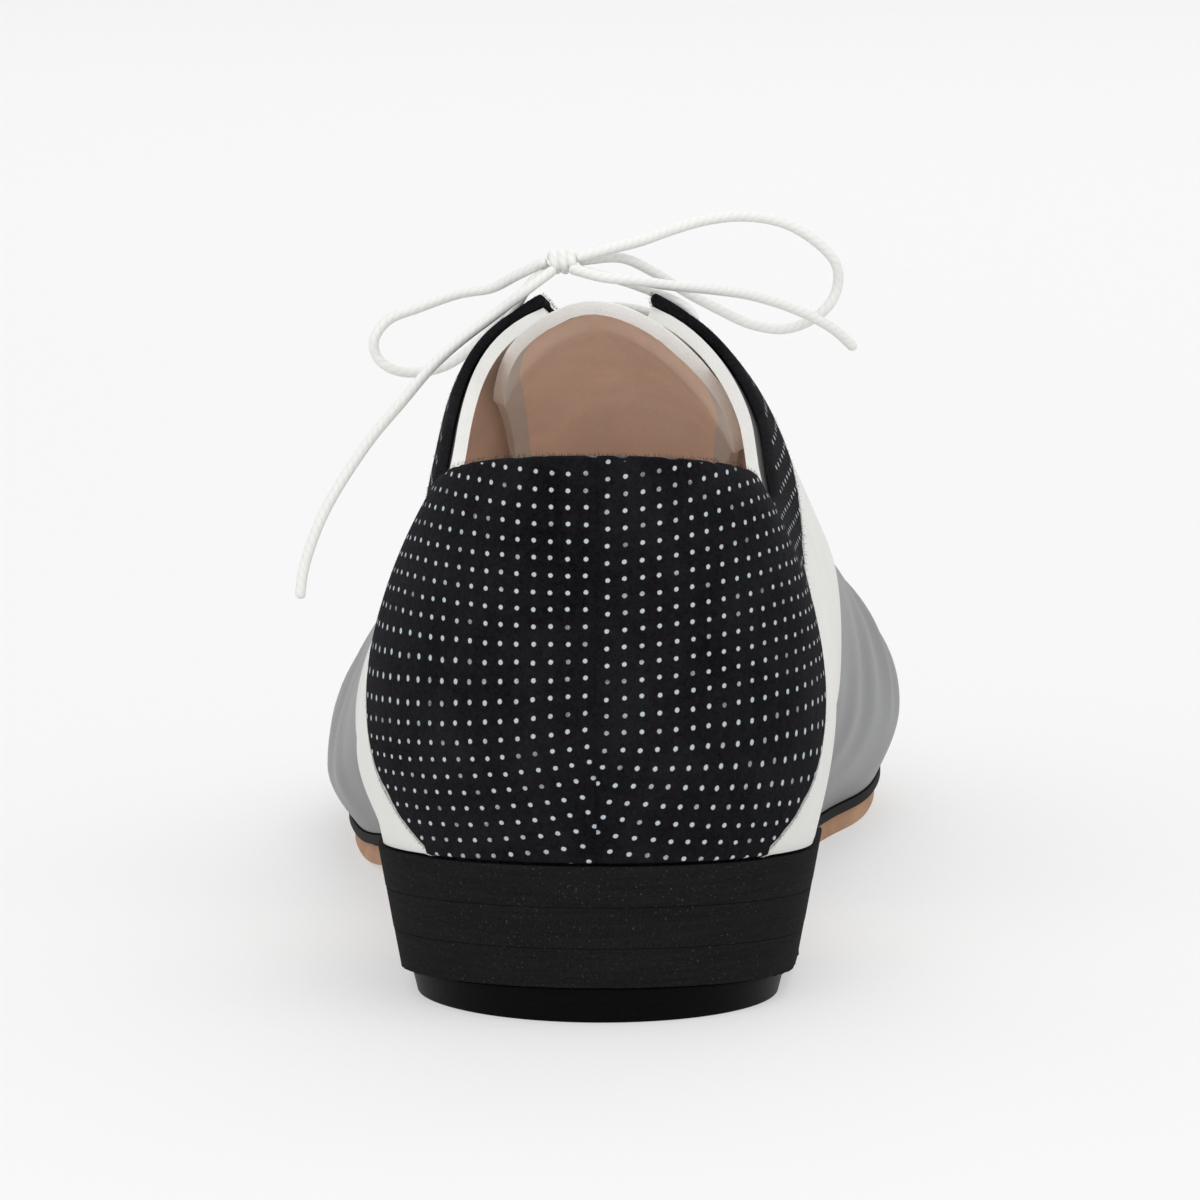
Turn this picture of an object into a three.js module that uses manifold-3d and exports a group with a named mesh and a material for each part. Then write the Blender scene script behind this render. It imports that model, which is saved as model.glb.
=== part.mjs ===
// A low-heeled lace-up dance shoe for the left foot. Millimetres, +Z up, the toe toward +Y, and +X on the medial
// side. The upper is one hollow lasted shell, open at the collar, at the throat and underneath. Leather panels lie
// over it, and the sole and a layered heel close it.
import * as THREE from 'three';
import { mergeVertices } from 'three/addons/utils/BufferGeometryUtils.js';
import Module from 'manifold-3d';

const wasm = await Module();
wasm.setup();

// Driving dimensions of the last
const upperLength = 252;       // heel back to toe tip, outside of the upper
const ballWidth = 92;          // across the widest part of the forefoot
const instepHeight = 93;       // floor to the ridge of the instep
const heelHeight = 24;         // floor to the heel seat, at the back
const seatPitch = 4;           // degrees by which the heel seat falls toward the front
const heelLength = 60;         // heel back to breast
const heelRadius = 31;         // length over which the heel end rounds off
const toeTaper = 80;           // length over which the toe end rounds off
const toeSpring = 12;          // rise of the toe tip over the tread
const toeSwing = 10;           // shift of the toe tip to the medial side
const toeRoll = 6;             // how far the top of the toe tip lies behind its foot
const heelLean = 5;            // how far the top of the heel curve leans forward
const heelTuck = 1.5;          // how far the foot of the heel curve tucks forward

// Driving dimensions of the pieces
const upperWall = 2;
const quarterThickness = 1.6;
const bandThickness = 0.8;
const tongueThickness = 2;
const tongueWidth = 40;
const tongueFootWidth = 32;     // width of the tongue's fixed end
const tongueCorner = 12;       // radius of the tongue's free corners
const insoleThickness = 2.5;
const edgeBandThickness = 1.5;
const edgeBandMargin = 0.2;    // how far the edge band stands out past the upper
const outsoleThickness = 3;
const outsoleInset = 0.8;      // how far the outsole stands in from the upper
const heelTaper = 3.4;         // how far the sides of the heel block draw in toward its foot
const heelLayerCount = 3;
const topLiftFront = 1.2;      // thickness of the top lift at the breast
const topLiftInset = 1.6;      // how far the top lift stands in from the heel block
const slitTopWidth = 17;       // throat slit, at the collar
const slitFootWidth = 9;       // throat slit, at the vamp
const laceDiameter = 1.6;
const laceHoleDiameter = 3;
const laceHoleInset = 5.5;     // slit edge to the centre of a lace hole
const laceRest = 0.9;          // from a surface to the middle of a lace that lies on it
const laceLift = 1.4;          // how far one lace lifts where it crosses over the other
const lacePairs = 4;
const gap = 0.3;               // clearance between pieces that meet

// Places along the last, as shares of its length
const treadStart = 0.59;
const treadEnd = 0.70;
const slitStart = 0.36;
const slitEnd = 0.6;
const tongueStart = 0.375;
const tongueEnd = 0.64;
const topHoles = 0.435;
const bottomHoles = 0.57;
const throatFloor = 0.4;       // height over the floor above which slit and tongue are cut, of the instep height

// Sections of the last from heel back to toe tip.
// at: share of the length. lateral, medial: widest half widths from the shoe's curved middle line, as shares
// of the ball width. lateralSeam, medialSeam: half widths at the sole seam, as shares of the widest.
// lateralBelly, medialBelly: height of the widest point, as a share of the section's height. ridge: height of the
// ridge over the floor, as a share of the instep height. ridgeShift: the ridge's shift to the medial side, as a
// share of the ball width. fullness: exponent of the curve from the widest point to the ridge. draw: how far the
// lateral wall draws in halfway up, as a share of its width.
const sections = [
  section(0.00, 0.342, 0.342, 0.950, 0.950, 0.30, 0.30, 1.030, 0.000, 2.00, 0.00),
  section(0.06, 0.347, 0.339, 0.950, 0.950, 0.29, 0.30, 1.000, 0.000, 2.00, 0.00),
  section(0.12, 0.360, 0.338, 0.935, 0.950, 0.25, 0.27, 0.945, 0.000, 1.90, 0.00),
  section(0.18, 0.386, 0.348, 0.885, 0.930, 0.19, 0.24, 0.935, -0.006, 1.80, 0.02),
  section(0.25, 0.400, 0.353, 0.870, 0.905, 0.18, 0.24, 0.970, -0.014, 1.80, 0.10),
  section(0.32, 0.412, 0.350, 0.860, 0.825, 0.19, 0.26, 1.025, -0.036, 1.85, 0.16),
  section(0.42, 0.440, 0.345, 0.850, 0.710, 0.19, 0.28, 1.020, -0.046, 1.85, 0.17),
  section(0.48, 0.476, 0.360, 0.870, 0.690, 0.17, 0.28, 0.935, -0.026, 1.85, 0.13),
  section(0.55, 0.518, 0.382, 0.900, 0.700, 0.14, 0.29, 0.790, -0.005, 1.90, 0.07),
  section(0.65, 0.557, 0.411, 0.930, 0.765, 0.15, 0.31, 0.625, 0.025, 1.95, 0.02),
  section(0.74, 0.566, 0.430, 0.940, 0.880, 0.19, 0.32, 0.500, 0.043, 2.00, 0.00),
  section(0.84, 0.564, 0.434, 0.950, 0.945, 0.27, 0.34, 0.392, 0.043, 2.10, 0.00),
  section(0.93, 0.563, 0.391, 0.960, 0.960, 0.33, 0.35, 0.318, 0.030, 2.20, 0.00),
  section(1.00, 0.530, 0.360, 0.960, 0.960, 0.35, 0.35, 0.262, 0.000, 2.20, 0.00),
];

// The collar's edge from the heel back to the top of the facings.
// at: share of the length. lateral, medial: heights, as shares of the instep height.
const topLine = [
  { at: -0.10, lateral: 0.895, medial: 0.895 },
  { at: 0.00, lateral: 0.893, medial: 0.893 },
  { at: 0.06, lateral: 0.860, medial: 0.860 },
  { at: 0.12, lateral: 0.802, medial: 0.812 },
  { at: 0.18, lateral: 0.738, medial: 0.764 },
  { at: 0.22, lateral: 0.718, medial: 0.750 },
  { at: 0.26, lateral: 0.752, medial: 0.787 },
  { at: 0.30, lateral: 0.812, medial: 0.828 },
  { at: 0.34, lateral: 0.860, medial: 0.868 },
  { at: 0.38, lateral: 0.915, medial: 0.915 },
  { at: 0.42, lateral: 0.980, medial: 0.980 },
];

// Front edges of the panels, from the sole seam to the throat. at: share of the length. height: share of the
// instep height.
const quarterEdge = [
  { at: 0.035, height: 0.10 },
  { at: 0.044, height: 0.24 },
  { at: 0.070, height: 0.30 },
  { at: 0.094, height: 0.36 },
  { at: 0.111, height: 0.44 },
  { at: 0.123, height: 0.51 },
  { at: 0.141, height: 0.565 },
  { at: 0.173, height: 0.615 },
  { at: 0.220, height: 0.650 },
  { at: 0.270, height: 0.690 },
  { at: 0.320, height: 0.745 },
  { at: 0.370, height: 0.810 },
  { at: 0.410, height: 0.860 },
  { at: 0.445, height: 0.900 },
  { at: 0.470, height: 0.960 },
  { at: 0.480, height: 1.10 },
];
const bandEdge = [
  { at: 0.370, height: -0.05 },
  { at: 0.385, height: 0.12 },
  { at: 0.405, height: 0.25 },
  { at: 0.432, height: 0.36 },
  { at: 0.468, height: 0.46 },
  { at: 0.520, height: 0.55 },
  { at: 0.570, height: 0.63 },
  { at: 0.592, height: 0.75 },
  { at: 0.600, height: 1.10 },
];

// The free lace: a flat knot over the top bar, and the routes of the loops and of the ends as they lie, in
// millimetres from the heel back
const knot = { place: [-8, 111, 98.6], size: [6.2, 5.4, 4] };
const laceRoutes = {
  loop_left: {
    steps: 17,
    points: [
      [-11.9, 109.8, 99], [-15, 113, 96.3], [-19, 116, 94], [-24, 117, 93], [-30, 116, 91], [-35, 115, 89],
      [-37, 114, 86], [-36.5, 114, 83.5], [-34.5, 114, 81.8], [-31, 115, 81], [-26, 116, 82], [-21, 117, 85.5],
      [-16, 116.5, 91], [-11.4, 113.2, 97.6],
    ],
  },
  loop_right: {
    steps: 24,
    points: [
      [-4.6, 110.8, 99.6], [-1, 113, 100.3], [4, 117, 101.2], [9, 121, 102.6], [14, 123.5, 103.8],
      [20, 125.5, 104.2], [26, 127, 103], [31, 128, 100], [34, 129, 96.5], [34.3, 130, 93], [33, 130, 90],
      [30, 130, 87.5], [26, 130, 86.2], [21, 129, 87], [16, 127, 89.5], [11, 124, 92.5], [6, 120.5, 96],
      [1, 117, 98.6], [-4.1, 113.7, 98.6],
    ],
  },
  end_left: {
    steps: 17,
    points: [
      [-9.6, 107.4, 97.3], [-13, 106.3, 95], [-18, 107.2, 91], [-24, 105.5, 86.5], [-28, 102, 83], [-32, 98, 78.5],
      [-36, 95, 74], [-39, 92, 70], [-41.3, 90, 66.5], [-43.3, 88.5, 63], [-45.2, 87, 58.5], [-46.5, 86, 54],
      [-47, 85, 50],
    ],
  },
  end_right: {
    steps: 14,
    points: [
      [-6, 107.4, 97.4], [-1.5, 106, 96.8], [4, 106.5, 96.2], [9, 109, 95.2], [15, 113, 94.2], [21, 117.5, 92.8],
      [28, 122.5, 90], [33.5, 126.5, 86.7], [37, 130, 83.2],
    ],
  },
};

// Shares that shape the last
const bellyClimb = 0.24;       // part of a section's steps that lies below its widest point
const heelBulge = 0.36;        // height of the heel curve's rearmost point, between heel seat and collar
const heelCurveReach = 0.3;    // share of the length over which the heel curve fades out
const toeRollReach = 0.16;     // share of the length over which the toe's roll fades out
const toeBluntness = 2.2;      // exponent of the toe's outline in plan
const springCurve = 1.7;       // exponent of the toe spring's rise
const stationCount = 34;
const aroundCount = 24;

// Heights of the sole
const stackHeight = outsoleThickness + edgeBandThickness + 2 * gap;
const pitchSlope = Math.tan(THREE.MathUtils.degToRad(seatPitch));
const breastHeight = heelHeight - heelLength * pitchSlope;
const shellOut = gap + quarterThickness;

function section(...values) {
  const columns = ['at', 'lateral', 'medial', 'lateralSeam', 'medialSeam', 'lateralBelly', 'medialBelly', 'ridge',
    'ridgeShift', 'fullness', 'draw'];
  return Object.fromEntries(columns.map((column, i) => [column, values[i]]));
}

function smoothStep(value) {
  const t = THREE.MathUtils.clamp(value, 0, 1);
  return t * t * (3 - 2 * t);
}

// Reads one column of a table at a share, by cubic pieces through its rows
function readColumn(rows, column, at) {
  let low = 0;
  while (low < rows.length - 2 && at > rows[low + 1].at) low += 1;
  const slopeOf = (i) => (rows[i + 1][column] - rows[i][column]) / (rows[i + 1].at - rows[i].at);
  const tangentOf = (i) => {
    if (i === 0) return slopeOf(0);
    if (i === rows.length - 1) return slopeOf(i - 1);
    const before = rows[i].at - rows[i - 1].at;
    const after = rows[i + 1].at - rows[i].at;
    return (slopeOf(i) * before + slopeOf(i - 1) * after) / (before + after);
  };
  const span = rows[low + 1].at - rows[low].at;
  const t = THREE.MathUtils.clamp((at - rows[low].at) / span, 0, 1);
  const t2 = t * t;
  const t3 = t2 * t;
  return (2 * t3 - 3 * t2 + 1) * rows[low][column] + (t3 - 2 * t2 + t) * span * tangentOf(low)
    + (3 * t2 - 2 * t3) * rows[low + 1][column] + (t3 - t2) * span * tangentOf(low + 1);
}

// Height of the sole seam over the floor, at a distance from the heel back
function seamHeight(y) {
  const treadFrom = treadStart * upperLength;
  const treadTo = treadEnd * upperLength;
  if (y <= heelLength) return heelHeight - y * pitchSlope;
  if (y < treadFrom) {
    const span = treadFrom - heelLength;
    const t = (y - heelLength) / span;
    const fall = 2 * t ** 3 - 3 * t ** 2 + 1;
    const lead = t ** 3 - 2 * t ** 2 + t;
    return stackHeight + (breastHeight - stackHeight) * fall - pitchSlope * span * lead;
  }
  if (y <= treadTo) return stackHeight;
  return stackHeight + toeSpring * ((y - treadTo) / (upperLength - treadTo)) ** springCurve;
}

// Share of its full width that a section keeps near the round ends
function endRounding(y) {
  const heelPart = THREE.MathUtils.clamp(y / heelRadius, 0, 1);
  const toePart = THREE.MathUtils.clamp((upperLength - y) / toeTaper, 0, 1);
  return Math.sqrt(1 - (1 - heelPart) ** 2) * Math.sqrt(1 - (1 - toePart) ** toeBluntness);
}

// A point on the outside of the last. around runs from -1 at the lateral seam over 0 at the ridge to 1 at the
// medial seam.
function lastPoint(at, around) {
  const side = around < 0 ? 'lateral' : 'medial';
  const sign = around < 0 ? -1 : 1;
  const climb = 1 - Math.abs(around);
  const y = at * upperLength;
  const rounding = endRounding(y);
  const wide = sign * ballWidth * readColumn(sections, side, at) * rounding;
  const seamWide = wide * readColumn(sections, `${side}Seam`, at);
  const low = seamHeight(y);
  const high = instepHeight * readColumn(sections, 'ridge', at);
  const belly = low + (high - low) * readColumn(sections, `${side}Belly`, at);
  const ridge = ballWidth * readColumn(sections, 'ridgeShift', at) * rounding;
  let x;
  let z;
  if (climb < bellyClimb) {
    const part = climb / bellyClimb;
    x = seamWide + (wide - seamWide) * Math.sin(part * Math.PI / 2);
    z = low + (belly - low) * part;
  } else {
    const angle = (climb - bellyClimb) / (1 - bellyClimb) * Math.PI / 2;
    const power = 2 / readColumn(sections, 'fullness', at);
    const rise = Math.sin(angle) ** power;
    const draw = side === 'lateral' ? readColumn(sections, 'draw', at) * Math.sin(Math.PI * rise) ** 2 : 0;
    x = ridge + (wide - ridge) * Math.max(0, Math.cos(angle)) ** power * (1 - draw);
    z = belly + (high - belly) * rise;
  }
  const bulgeHeight = heelHeight + (topLine[1].lateral * instepHeight - heelHeight) * heelBulge;
  const curveSpan = z > bulgeHeight ? topLine[1].lateral * instepHeight - bulgeHeight : bulgeHeight - heelHeight;
  const curveDepth = z > bulgeHeight ? heelLean : heelTuck;
  const heelCurve = curveDepth * ((z - bulgeHeight) / curveSpan) ** 2 * (1 - smoothStep(at / heelCurveReach));
  const roll = toeRoll * climb ** 2 * smoothStep((at - 1 + toeRollReach) / toeRollReach);
  return new THREE.Vector3(toeSwing * at ** 2 + x, y + heelCurve - roll, z);
}

// The outward direction of the last's surface at a point
function lastNormal(at, around) {
  const stepAt = 0.002;
  const stepAround = 0.01;
  const a = THREE.MathUtils.clamp(at, stepAt * 1.05, 1 - stepAt * 1.05);
  const r = THREE.MathUtils.clamp(around, stepAround - 1, 1 - stepAround);
  const along = lastPoint(a + stepAt, r).sub(lastPoint(a - stepAt, r));
  const across = lastPoint(a, r + stepAround).sub(lastPoint(a, r - stepAround));
  const normal = across.cross(along).normalize();
  if (at <= 0 || at >= 1) normal.x = 0;
  return normal.normalize();
}

// A point at a distance outside (or, below zero, inside) the last. Points at the seam stay on the seam's height,
// and both sides fold onto one line at the heel back and at the toe tip.
function shellPoint(at, around, offset) {
  const place = at <= 0 || at >= 1 ? Math.abs(around) : around;
  const point = lastPoint(at, place).addScaledVector(lastNormal(at, place), offset);
  if (Math.abs(around) === 1) point.z = seamHeight(point.y);
  return point;
}

// A closed geometry from rings of points with one count. The ends are closed flat, or by a ring that folds shut.
function geometryFromRings(rings, capEnds) {
  const count = rings[0].length;
  const positions = rings.flat().flatMap((point) => [point.x, point.y, point.z]);
  const indices = [];
  for (let i = 0; i < rings.length - 1; i += 1) {
    for (let j = 0; j < count; j += 1) {
      const a = i * count + j;
      const b = i * count + (j + 1) % count;
      indices.push(a, b, a + count, b, b + count, a + count);
    }
  }
  if (capEnds) {
    const last = (rings.length - 1) * count;
    const outline = rings[0].map((point) => new THREE.Vector2(point.x, point.y));
    for (const [a, b, c] of THREE.ShapeUtils.triangulateShape(outline, [])) {
      indices.push(a, c, b, last + a, last + b, last + c);
    }
  }
  const geometry = new THREE.BufferGeometry();
  geometry.setAttribute('position', new THREE.Float32BufferAttribute(positions, 3));
  geometry.setIndex(indices);
  return geometry;
}

// A solid that can be joined and cut, from a closed geometry
function solidFrom(source) {
  const bare = source.clone();
  bare.deleteAttribute('normal');
  bare.deleteAttribute('uv');
  const merged = mergeVertices(bare, 1e-4);
  const index = Array.from(merged.index.array);
  const faces = [];
  for (let i = 0; i < index.length; i += 3) {
    const [a, b, c] = index.slice(i, i + 3);
    if (a !== b && b !== c && c !== a) faces.push(a, b, c);
  }
  const build = (triVerts) => new wasm.Manifold(new wasm.Mesh({
    numProp: 3,
    vertProperties: new Float32Array(merged.attributes.position.array),
    triVerts: new Uint32Array(triVerts),
  }));
  const solid = build(faces);
  if (solid.volume() > 0) return solid;
  return build(faces.map((_, i) => faces[i - (i % 3) + (3 - (i % 3)) % 3]));
}

function geometryFrom(solid) {
  const mesh = solid.getMesh();
  const geometry = new THREE.BufferGeometry();
  const positions = new Float32Array(mesh.numVert * 3);
  for (let i = 0; i < mesh.numVert; i += 1) {
    for (let k = 0; k < 3; k += 1) positions[i * 3 + k] = mesh.vertProperties[i * mesh.numProp + k];
  }
  geometry.setAttribute('position', new THREE.BufferAttribute(positions, 3));
  geometry.setIndex(Array.from(mesh.triVerts));
  return geometry;
}

// The whole last, grown by an offset. below lengthens it straight down past the seam, so that it cuts cleanly.
function lastForm(offset, below) {
  const rings = [];
  for (let i = 0; i <= stationCount; i += 1) {
    const at = (1 - Math.cos(Math.PI * i / stationCount)) / 2;
    const ring = [];
    for (let j = 0; j <= aroundCount; j += 1) ring.push(shellPoint(at, 2 * j / aroundCount - 1, offset));
    if (below > 0) {
      const drop = new THREE.Vector3(0, 0, below);
      ring.push(ring[aroundCount].clone().sub(drop), ring[0].clone().sub(drop));
    }
    rings.push(ring);
  }
  return solidFrom(geometryFromRings(rings, false));
}

// A prism across the shoe, from an outline of points (y, z), between two places on X
function sidePrism(outline, fromX, toX) {
  const shape = new THREE.Shape(outline.map(([y, z]) => new THREE.Vector2(y, z)));
  const geometry = new THREE.ExtrudeGeometry(shape, { depth: toX - fromX, bevelEnabled: false });
  const turn = new THREE.Matrix4().makeBasis(
    new THREE.Vector3(0, 1, 0), new THREE.Vector3(0, 0, 1), new THREE.Vector3(1, 0, 0));
  geometry.applyMatrix4(turn);
  geometry.translate(fromX, 0, 0);
  return solidFrom(geometry);
}

// An upright prism from an outline of points (x, y), between two heights
function planPrism(outline, fromZ, toZ) {
  const geometry = new THREE.ExtrudeGeometry(new THREE.Shape(outline), { depth: toZ - fromZ, bevelEnabled: false });
  geometry.translate(0, 0, fromZ);
  return solidFrom(geometry);
}

const sideSigns = { lateral: -1, medial: 1 };
const clearHeight = instepHeight * 1.4;
const clearWidth = ballWidth;

function ridgePlace(at) {
  return lastPoint(at, 0).x;
}

// All that lies on one side of the shoe's middle line, stopping a little short of it. The line runs straight over
// the open collar and then along the ridge.
function sideHalf(side, short) {
  const sign = sideSigns[side];
  const backY = -heelLength;
  const frontY = upperLength + heelLength;
  const line = [[0, backY], [0, heelLength]];
  const steps = 8;
  for (let i = 0; i <= steps; i += 1) {
    const at = THREE.MathUtils.lerp(slitStart, tongueEnd, i / steps);
    line.push([ridgePlace(at), at * upperLength]);
  }
  line.push([ridgePlace(tongueEnd), frontY]);
  const outline = line.map(([x, y]) => new THREE.Vector2(x + sign * short, y));
  outline.push(new THREE.Vector2(sign * clearWidth, frontY), new THREE.Vector2(sign * clearWidth, backY));
  return planPrism(outline, -clearHeight, 2 * clearHeight);
}

// The part of a prism across the shoe that lies on one side of its middle line
function halfPrism(outline, side, short) {
  return sidePrism(outline, -clearWidth, clearWidth).intersect(sideHalf(side, short));
}

// What lies above the collar's edge on one side
function collarCut(side) {
  const outline = [];
  const first = topLine[0].at;
  const lastAt = topLine[topLine.length - 1].at;
  const steps = 26;
  for (let i = 0; i <= steps; i += 1) {
    const at = first + (lastAt - first) * i / steps;
    outline.push([at * upperLength, readColumn(topLine, side, at) * instepHeight]);
  }
  outline.push([lastAt * upperLength, clearHeight], [first * upperLength, clearHeight]);
  return halfPrism(outline, side, 0);
}

function slitHalfWidth(at) {
  const share = (at - topLine[topLine.length - 1].at) / (slitEnd - topLine[topLine.length - 1].at);
  return THREE.MathUtils.lerp(slitTopWidth, slitFootWidth, THREE.MathUtils.clamp(share, 0, 1)) / 2;
}

// The slit between the facings, with a round foot
function throatCut() {
  const footRadius = slitFootWidth / 2;
  const footY = slitEnd * upperLength - footRadius;
  const footX = ridgePlace(slitEnd);
  const startX = ridgePlace(slitStart);
  const shape = new THREE.Path();
  const startHalf = slitHalfWidth(slitStart);
  shape.moveTo(startX - startHalf, slitStart * upperLength);
  shape.lineTo(startX + startHalf, slitStart * upperLength);
  shape.lineTo(footX + footRadius, footY);
  shape.absarc(footX, footY, footRadius, 0, Math.PI, false);
  return planPrism(shape.getPoints(5), throatFloor * instepHeight, clearHeight);
}

function tongueOutline() {
  const half = tongueWidth / 2;
  const footHalf = tongueFootWidth / 2;
  const top = tongueStart * upperLength;
  const foot = tongueEnd * upperLength;
  const middle = ridgePlace((tongueStart + tongueEnd) / 2);
  const shape = new THREE.Path();
  shape.moveTo(middle - half + tongueCorner, top);
  shape.absarc(middle + half - tongueCorner, top + tongueCorner, tongueCorner, -Math.PI / 2, 0, false);
  shape.lineTo(middle + footHalf, foot);
  shape.lineTo(middle - footHalf, foot);
  shape.absarc(middle - half + tongueCorner, top + tongueCorner, tongueCorner, -Math.PI, -Math.PI / 2, false);
  return shape.getPoints(4);
}

// The share around the last at which a lace hole lies, found from its distance to the ridge in plan
function aroundAt(at, side, distance) {
  const sign = sideSigns[side];
  const goal = ridgePlace(at) + sign * distance;
  const halvings = 24;
  let near = 0;
  let far = 0.6;
  for (let i = 0; i < halvings; i += 1) {
    const middle = (near + far) / 2;
    if (sign * (lastPoint(at, sign * middle).x - goal) < 0) near = middle;
    else far = middle;
  }
  return sign * near;
}

function laceHoleAt(pair) {
  return THREE.MathUtils.lerp(topHoles, bottomHoles, pair / (lacePairs - 1));
}

// The place of a lace hole on the last, with the outward direction there
function laceHole(pair, side) {
  const at = laceHoleAt(pair);
  const around = aroundAt(at, side, slitHalfWidth(at) + laceHoleInset);
  return { at, around, place: lastPoint(at, around), out: lastNormal(at, around) };
}

function laceHoleCuts() {
  const depth = 4 * (upperWall + shellOut);
  let cuts = null;
  for (let pair = 0; pair < lacePairs; pair += 1) {
    for (const side of Object.keys(sideSigns)) {
      const { place, out } = laceHole(pair, side);
      const drill = new THREE.CylinderGeometry(laceHoleDiameter / 2, laceHoleDiameter / 2, depth, 8);
      const turn = new THREE.Quaternion().setFromUnitVectors(new THREE.Vector3(0, 1, 0), out);
      drill.applyQuaternion(turn);
      drill.translate(place.x, place.y, place.z);
      const cut = solidFrom(drill);
      cuts = cuts ? cuts.add(cut) : cut;
    }
  }
  return cuts;
}

// The region of the side view behind a panel's front edge
function regionBehind(edge, side, forward) {
  const outline = edge.map(({ at, height }) => [at * upperLength + forward, height * instepHeight - forward]);
  const back = -heelLength;
  outline.push([back, edge[edge.length - 1].height * instepHeight], [back, edge[0].height * instepHeight - forward]);
  return halfPrism(outline, side, gap / 2);
}

const openings = collarCut('lateral').add(collarCut('medial')).add(throatCut()).add(laceHoleCuts());

function upper() {
  return lastForm(0, 0).subtract(lastForm(-upperWall, clearance())).subtract(openings);
}

function clearance() {
  return 2 * stackHeight;
}

function panelShell(thickness) {
  return lastForm(gap + thickness, 0).subtract(lastForm(gap, clearance())).subtract(openings);
}

const quarterShell = panelShell(quarterThickness);
const bandShell = panelShell(bandThickness);

function quarter(side) {
  return quarterShell.intersect(regionBehind(quarterEdge, side, 0));
}

function band(side) {
  return bandShell.intersect(regionBehind(bandEdge, side, 0)).subtract(regionBehind(quarterEdge, side, gap));
}

function tongue() {
  const inside = -upperWall - gap;
  const shell = lastForm(inside, 0).subtract(lastForm(inside - tongueThickness, clearance()));
  return shell.intersect(planPrism(tongueOutline(), throatFloor * instepHeight, clearHeight));
}

// A point of the sole's outline in plan, moved out by a margin
function outlinePoint(at, side, margin) {
  const sign = sideSigns[side];
  const step = 0.001;
  const a = THREE.MathUtils.clamp(at, step * 1.05, 1 - step * 1.05);
  const along = lastPoint(a + step, sign).sub(lastPoint(a - step, sign)).setZ(0).normalize();
  const out = new THREE.Vector3(sign * along.y, -sign * along.x, 0);
  if (at <= 0 || at >= 1) out.x = 0;
  return lastPoint(at, sign).addScaledVector(out.normalize(), margin);
}

// A plate under or inside the upper, between two heights over the sole seam
function solePlate(fromAt, margin, below, above) {
  const count = 32;
  const rings = [];
  const turnFrom = Math.acos(1 - 2 * fromAt);
  for (let i = 0; i <= count; i += 1) {
    const turn = THREE.MathUtils.lerp(turnFrom, Math.PI, i / count);
    const at = i === 0 ? fromAt : (1 - Math.cos(turn)) / 2;
    const left = outlinePoint(at, 'lateral', margin);
    const right = outlinePoint(at, 'medial', margin);
    if (i === 0 && fromAt > 0) {
      left.y = at * upperLength;
      right.y = at * upperLength;
    }
    rings.push([
      left.clone().setZ(seamHeight(left.y) + below), right.clone().setZ(seamHeight(right.y) + below),
      right.clone().setZ(seamHeight(right.y) + above), left.clone().setZ(seamHeight(left.y) + above),
    ]);
  }
  const geometry = geometryFromRings(rings, false);
  if (fromAt > 0) geometry.setIndex([...geometry.index.array, 0, 3, 1, 1, 3, 2]);
  return solidFrom(geometry);
}

const breastAt = (heelLength + gap) / upperLength;

function insole() {
  return solePlate(0, -upperWall - 2 * gap, 0, insoleThickness);
}

function edgeBand() {
  return solePlate(breastAt, edgeBandMargin, -gap - edgeBandThickness, -gap);
}

function outsole() {
  const top = -2 * gap - edgeBandThickness;
  return solePlate(breastAt, -outsoleInset, top - outsoleThickness, top);
}

// The heel's outline in plan at a margin from the sole seam, with its flat breast
function heelOutline(margin) {
  const count = 16;
  const end = heelLength / upperLength;
  const points = [];
  for (let i = -count; i <= count; i += 1) {
    const at = end * (i / count) ** 2;
    const point = outlinePoint(at, i < 0 ? 'lateral' : 'medial', margin);
    if (Math.abs(i) === count) point.y = heelLength;
    points.push(point);
  }
  return points;
}

function heelPiece(bottomMargin, topMargin, bottomAt, topAt) {
  const bottom = heelOutline(bottomMargin).map((point) => point.setZ(bottomAt(point.y)));
  const top = heelOutline(topMargin).map((point) => point.setZ(topAt(point.y)));
  return solidFrom(geometryFromRings([bottom, top], true));
}

const blockHeight = breastHeight - topLiftFront - 2 * gap;
const layerThickness = (blockHeight - (heelLayerCount - 1) * gap) / heelLayerCount;

// One layer of the heel block, counted from the heel seat down
function heelLayer(number) {
  const topDrop = gap + number * (layerThickness + gap);
  const bottomDrop = topDrop + layerThickness;
  const marginAt = (drop) => shellOut - heelTaper * (drop - gap) / blockHeight;
  const planeAt = (drop) => (y) => heelHeight - y * pitchSlope - drop;
  return heelPiece(marginAt(bottomDrop), marginAt(topDrop), planeAt(bottomDrop), planeAt(topDrop));
}

function topLift() {
  const topMargin = shellOut - heelTaper - topLiftInset;
  const planeAt = (y) => topLiftFront + (heelLength - y) * pitchSlope;
  return heelPiece(topMargin - topLiftInset / 2, topMargin, () => 0, planeAt);
}

// A round cord along a smooth route
function cordSolid(points, steps) {
  const circle = new THREE.Shape();
  const sides = 8;
  for (let i = 0; i < sides; i += 1) {
    const angle = 2 * Math.PI * i / sides;
    const x = Math.cos(angle) * laceDiameter / 2;
    const y = Math.sin(angle) * laceDiameter / 2;
    if (i === 0) circle.moveTo(x, y);
    else circle.lineTo(x, y);
  }
  circle.closePath();
  const route = new THREE.CatmullRomCurve3(points);
  return solidFrom(new THREE.ExtrudeGeometry(circle, { steps, extrudePath: route, bevelEnabled: false }));
}

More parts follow.
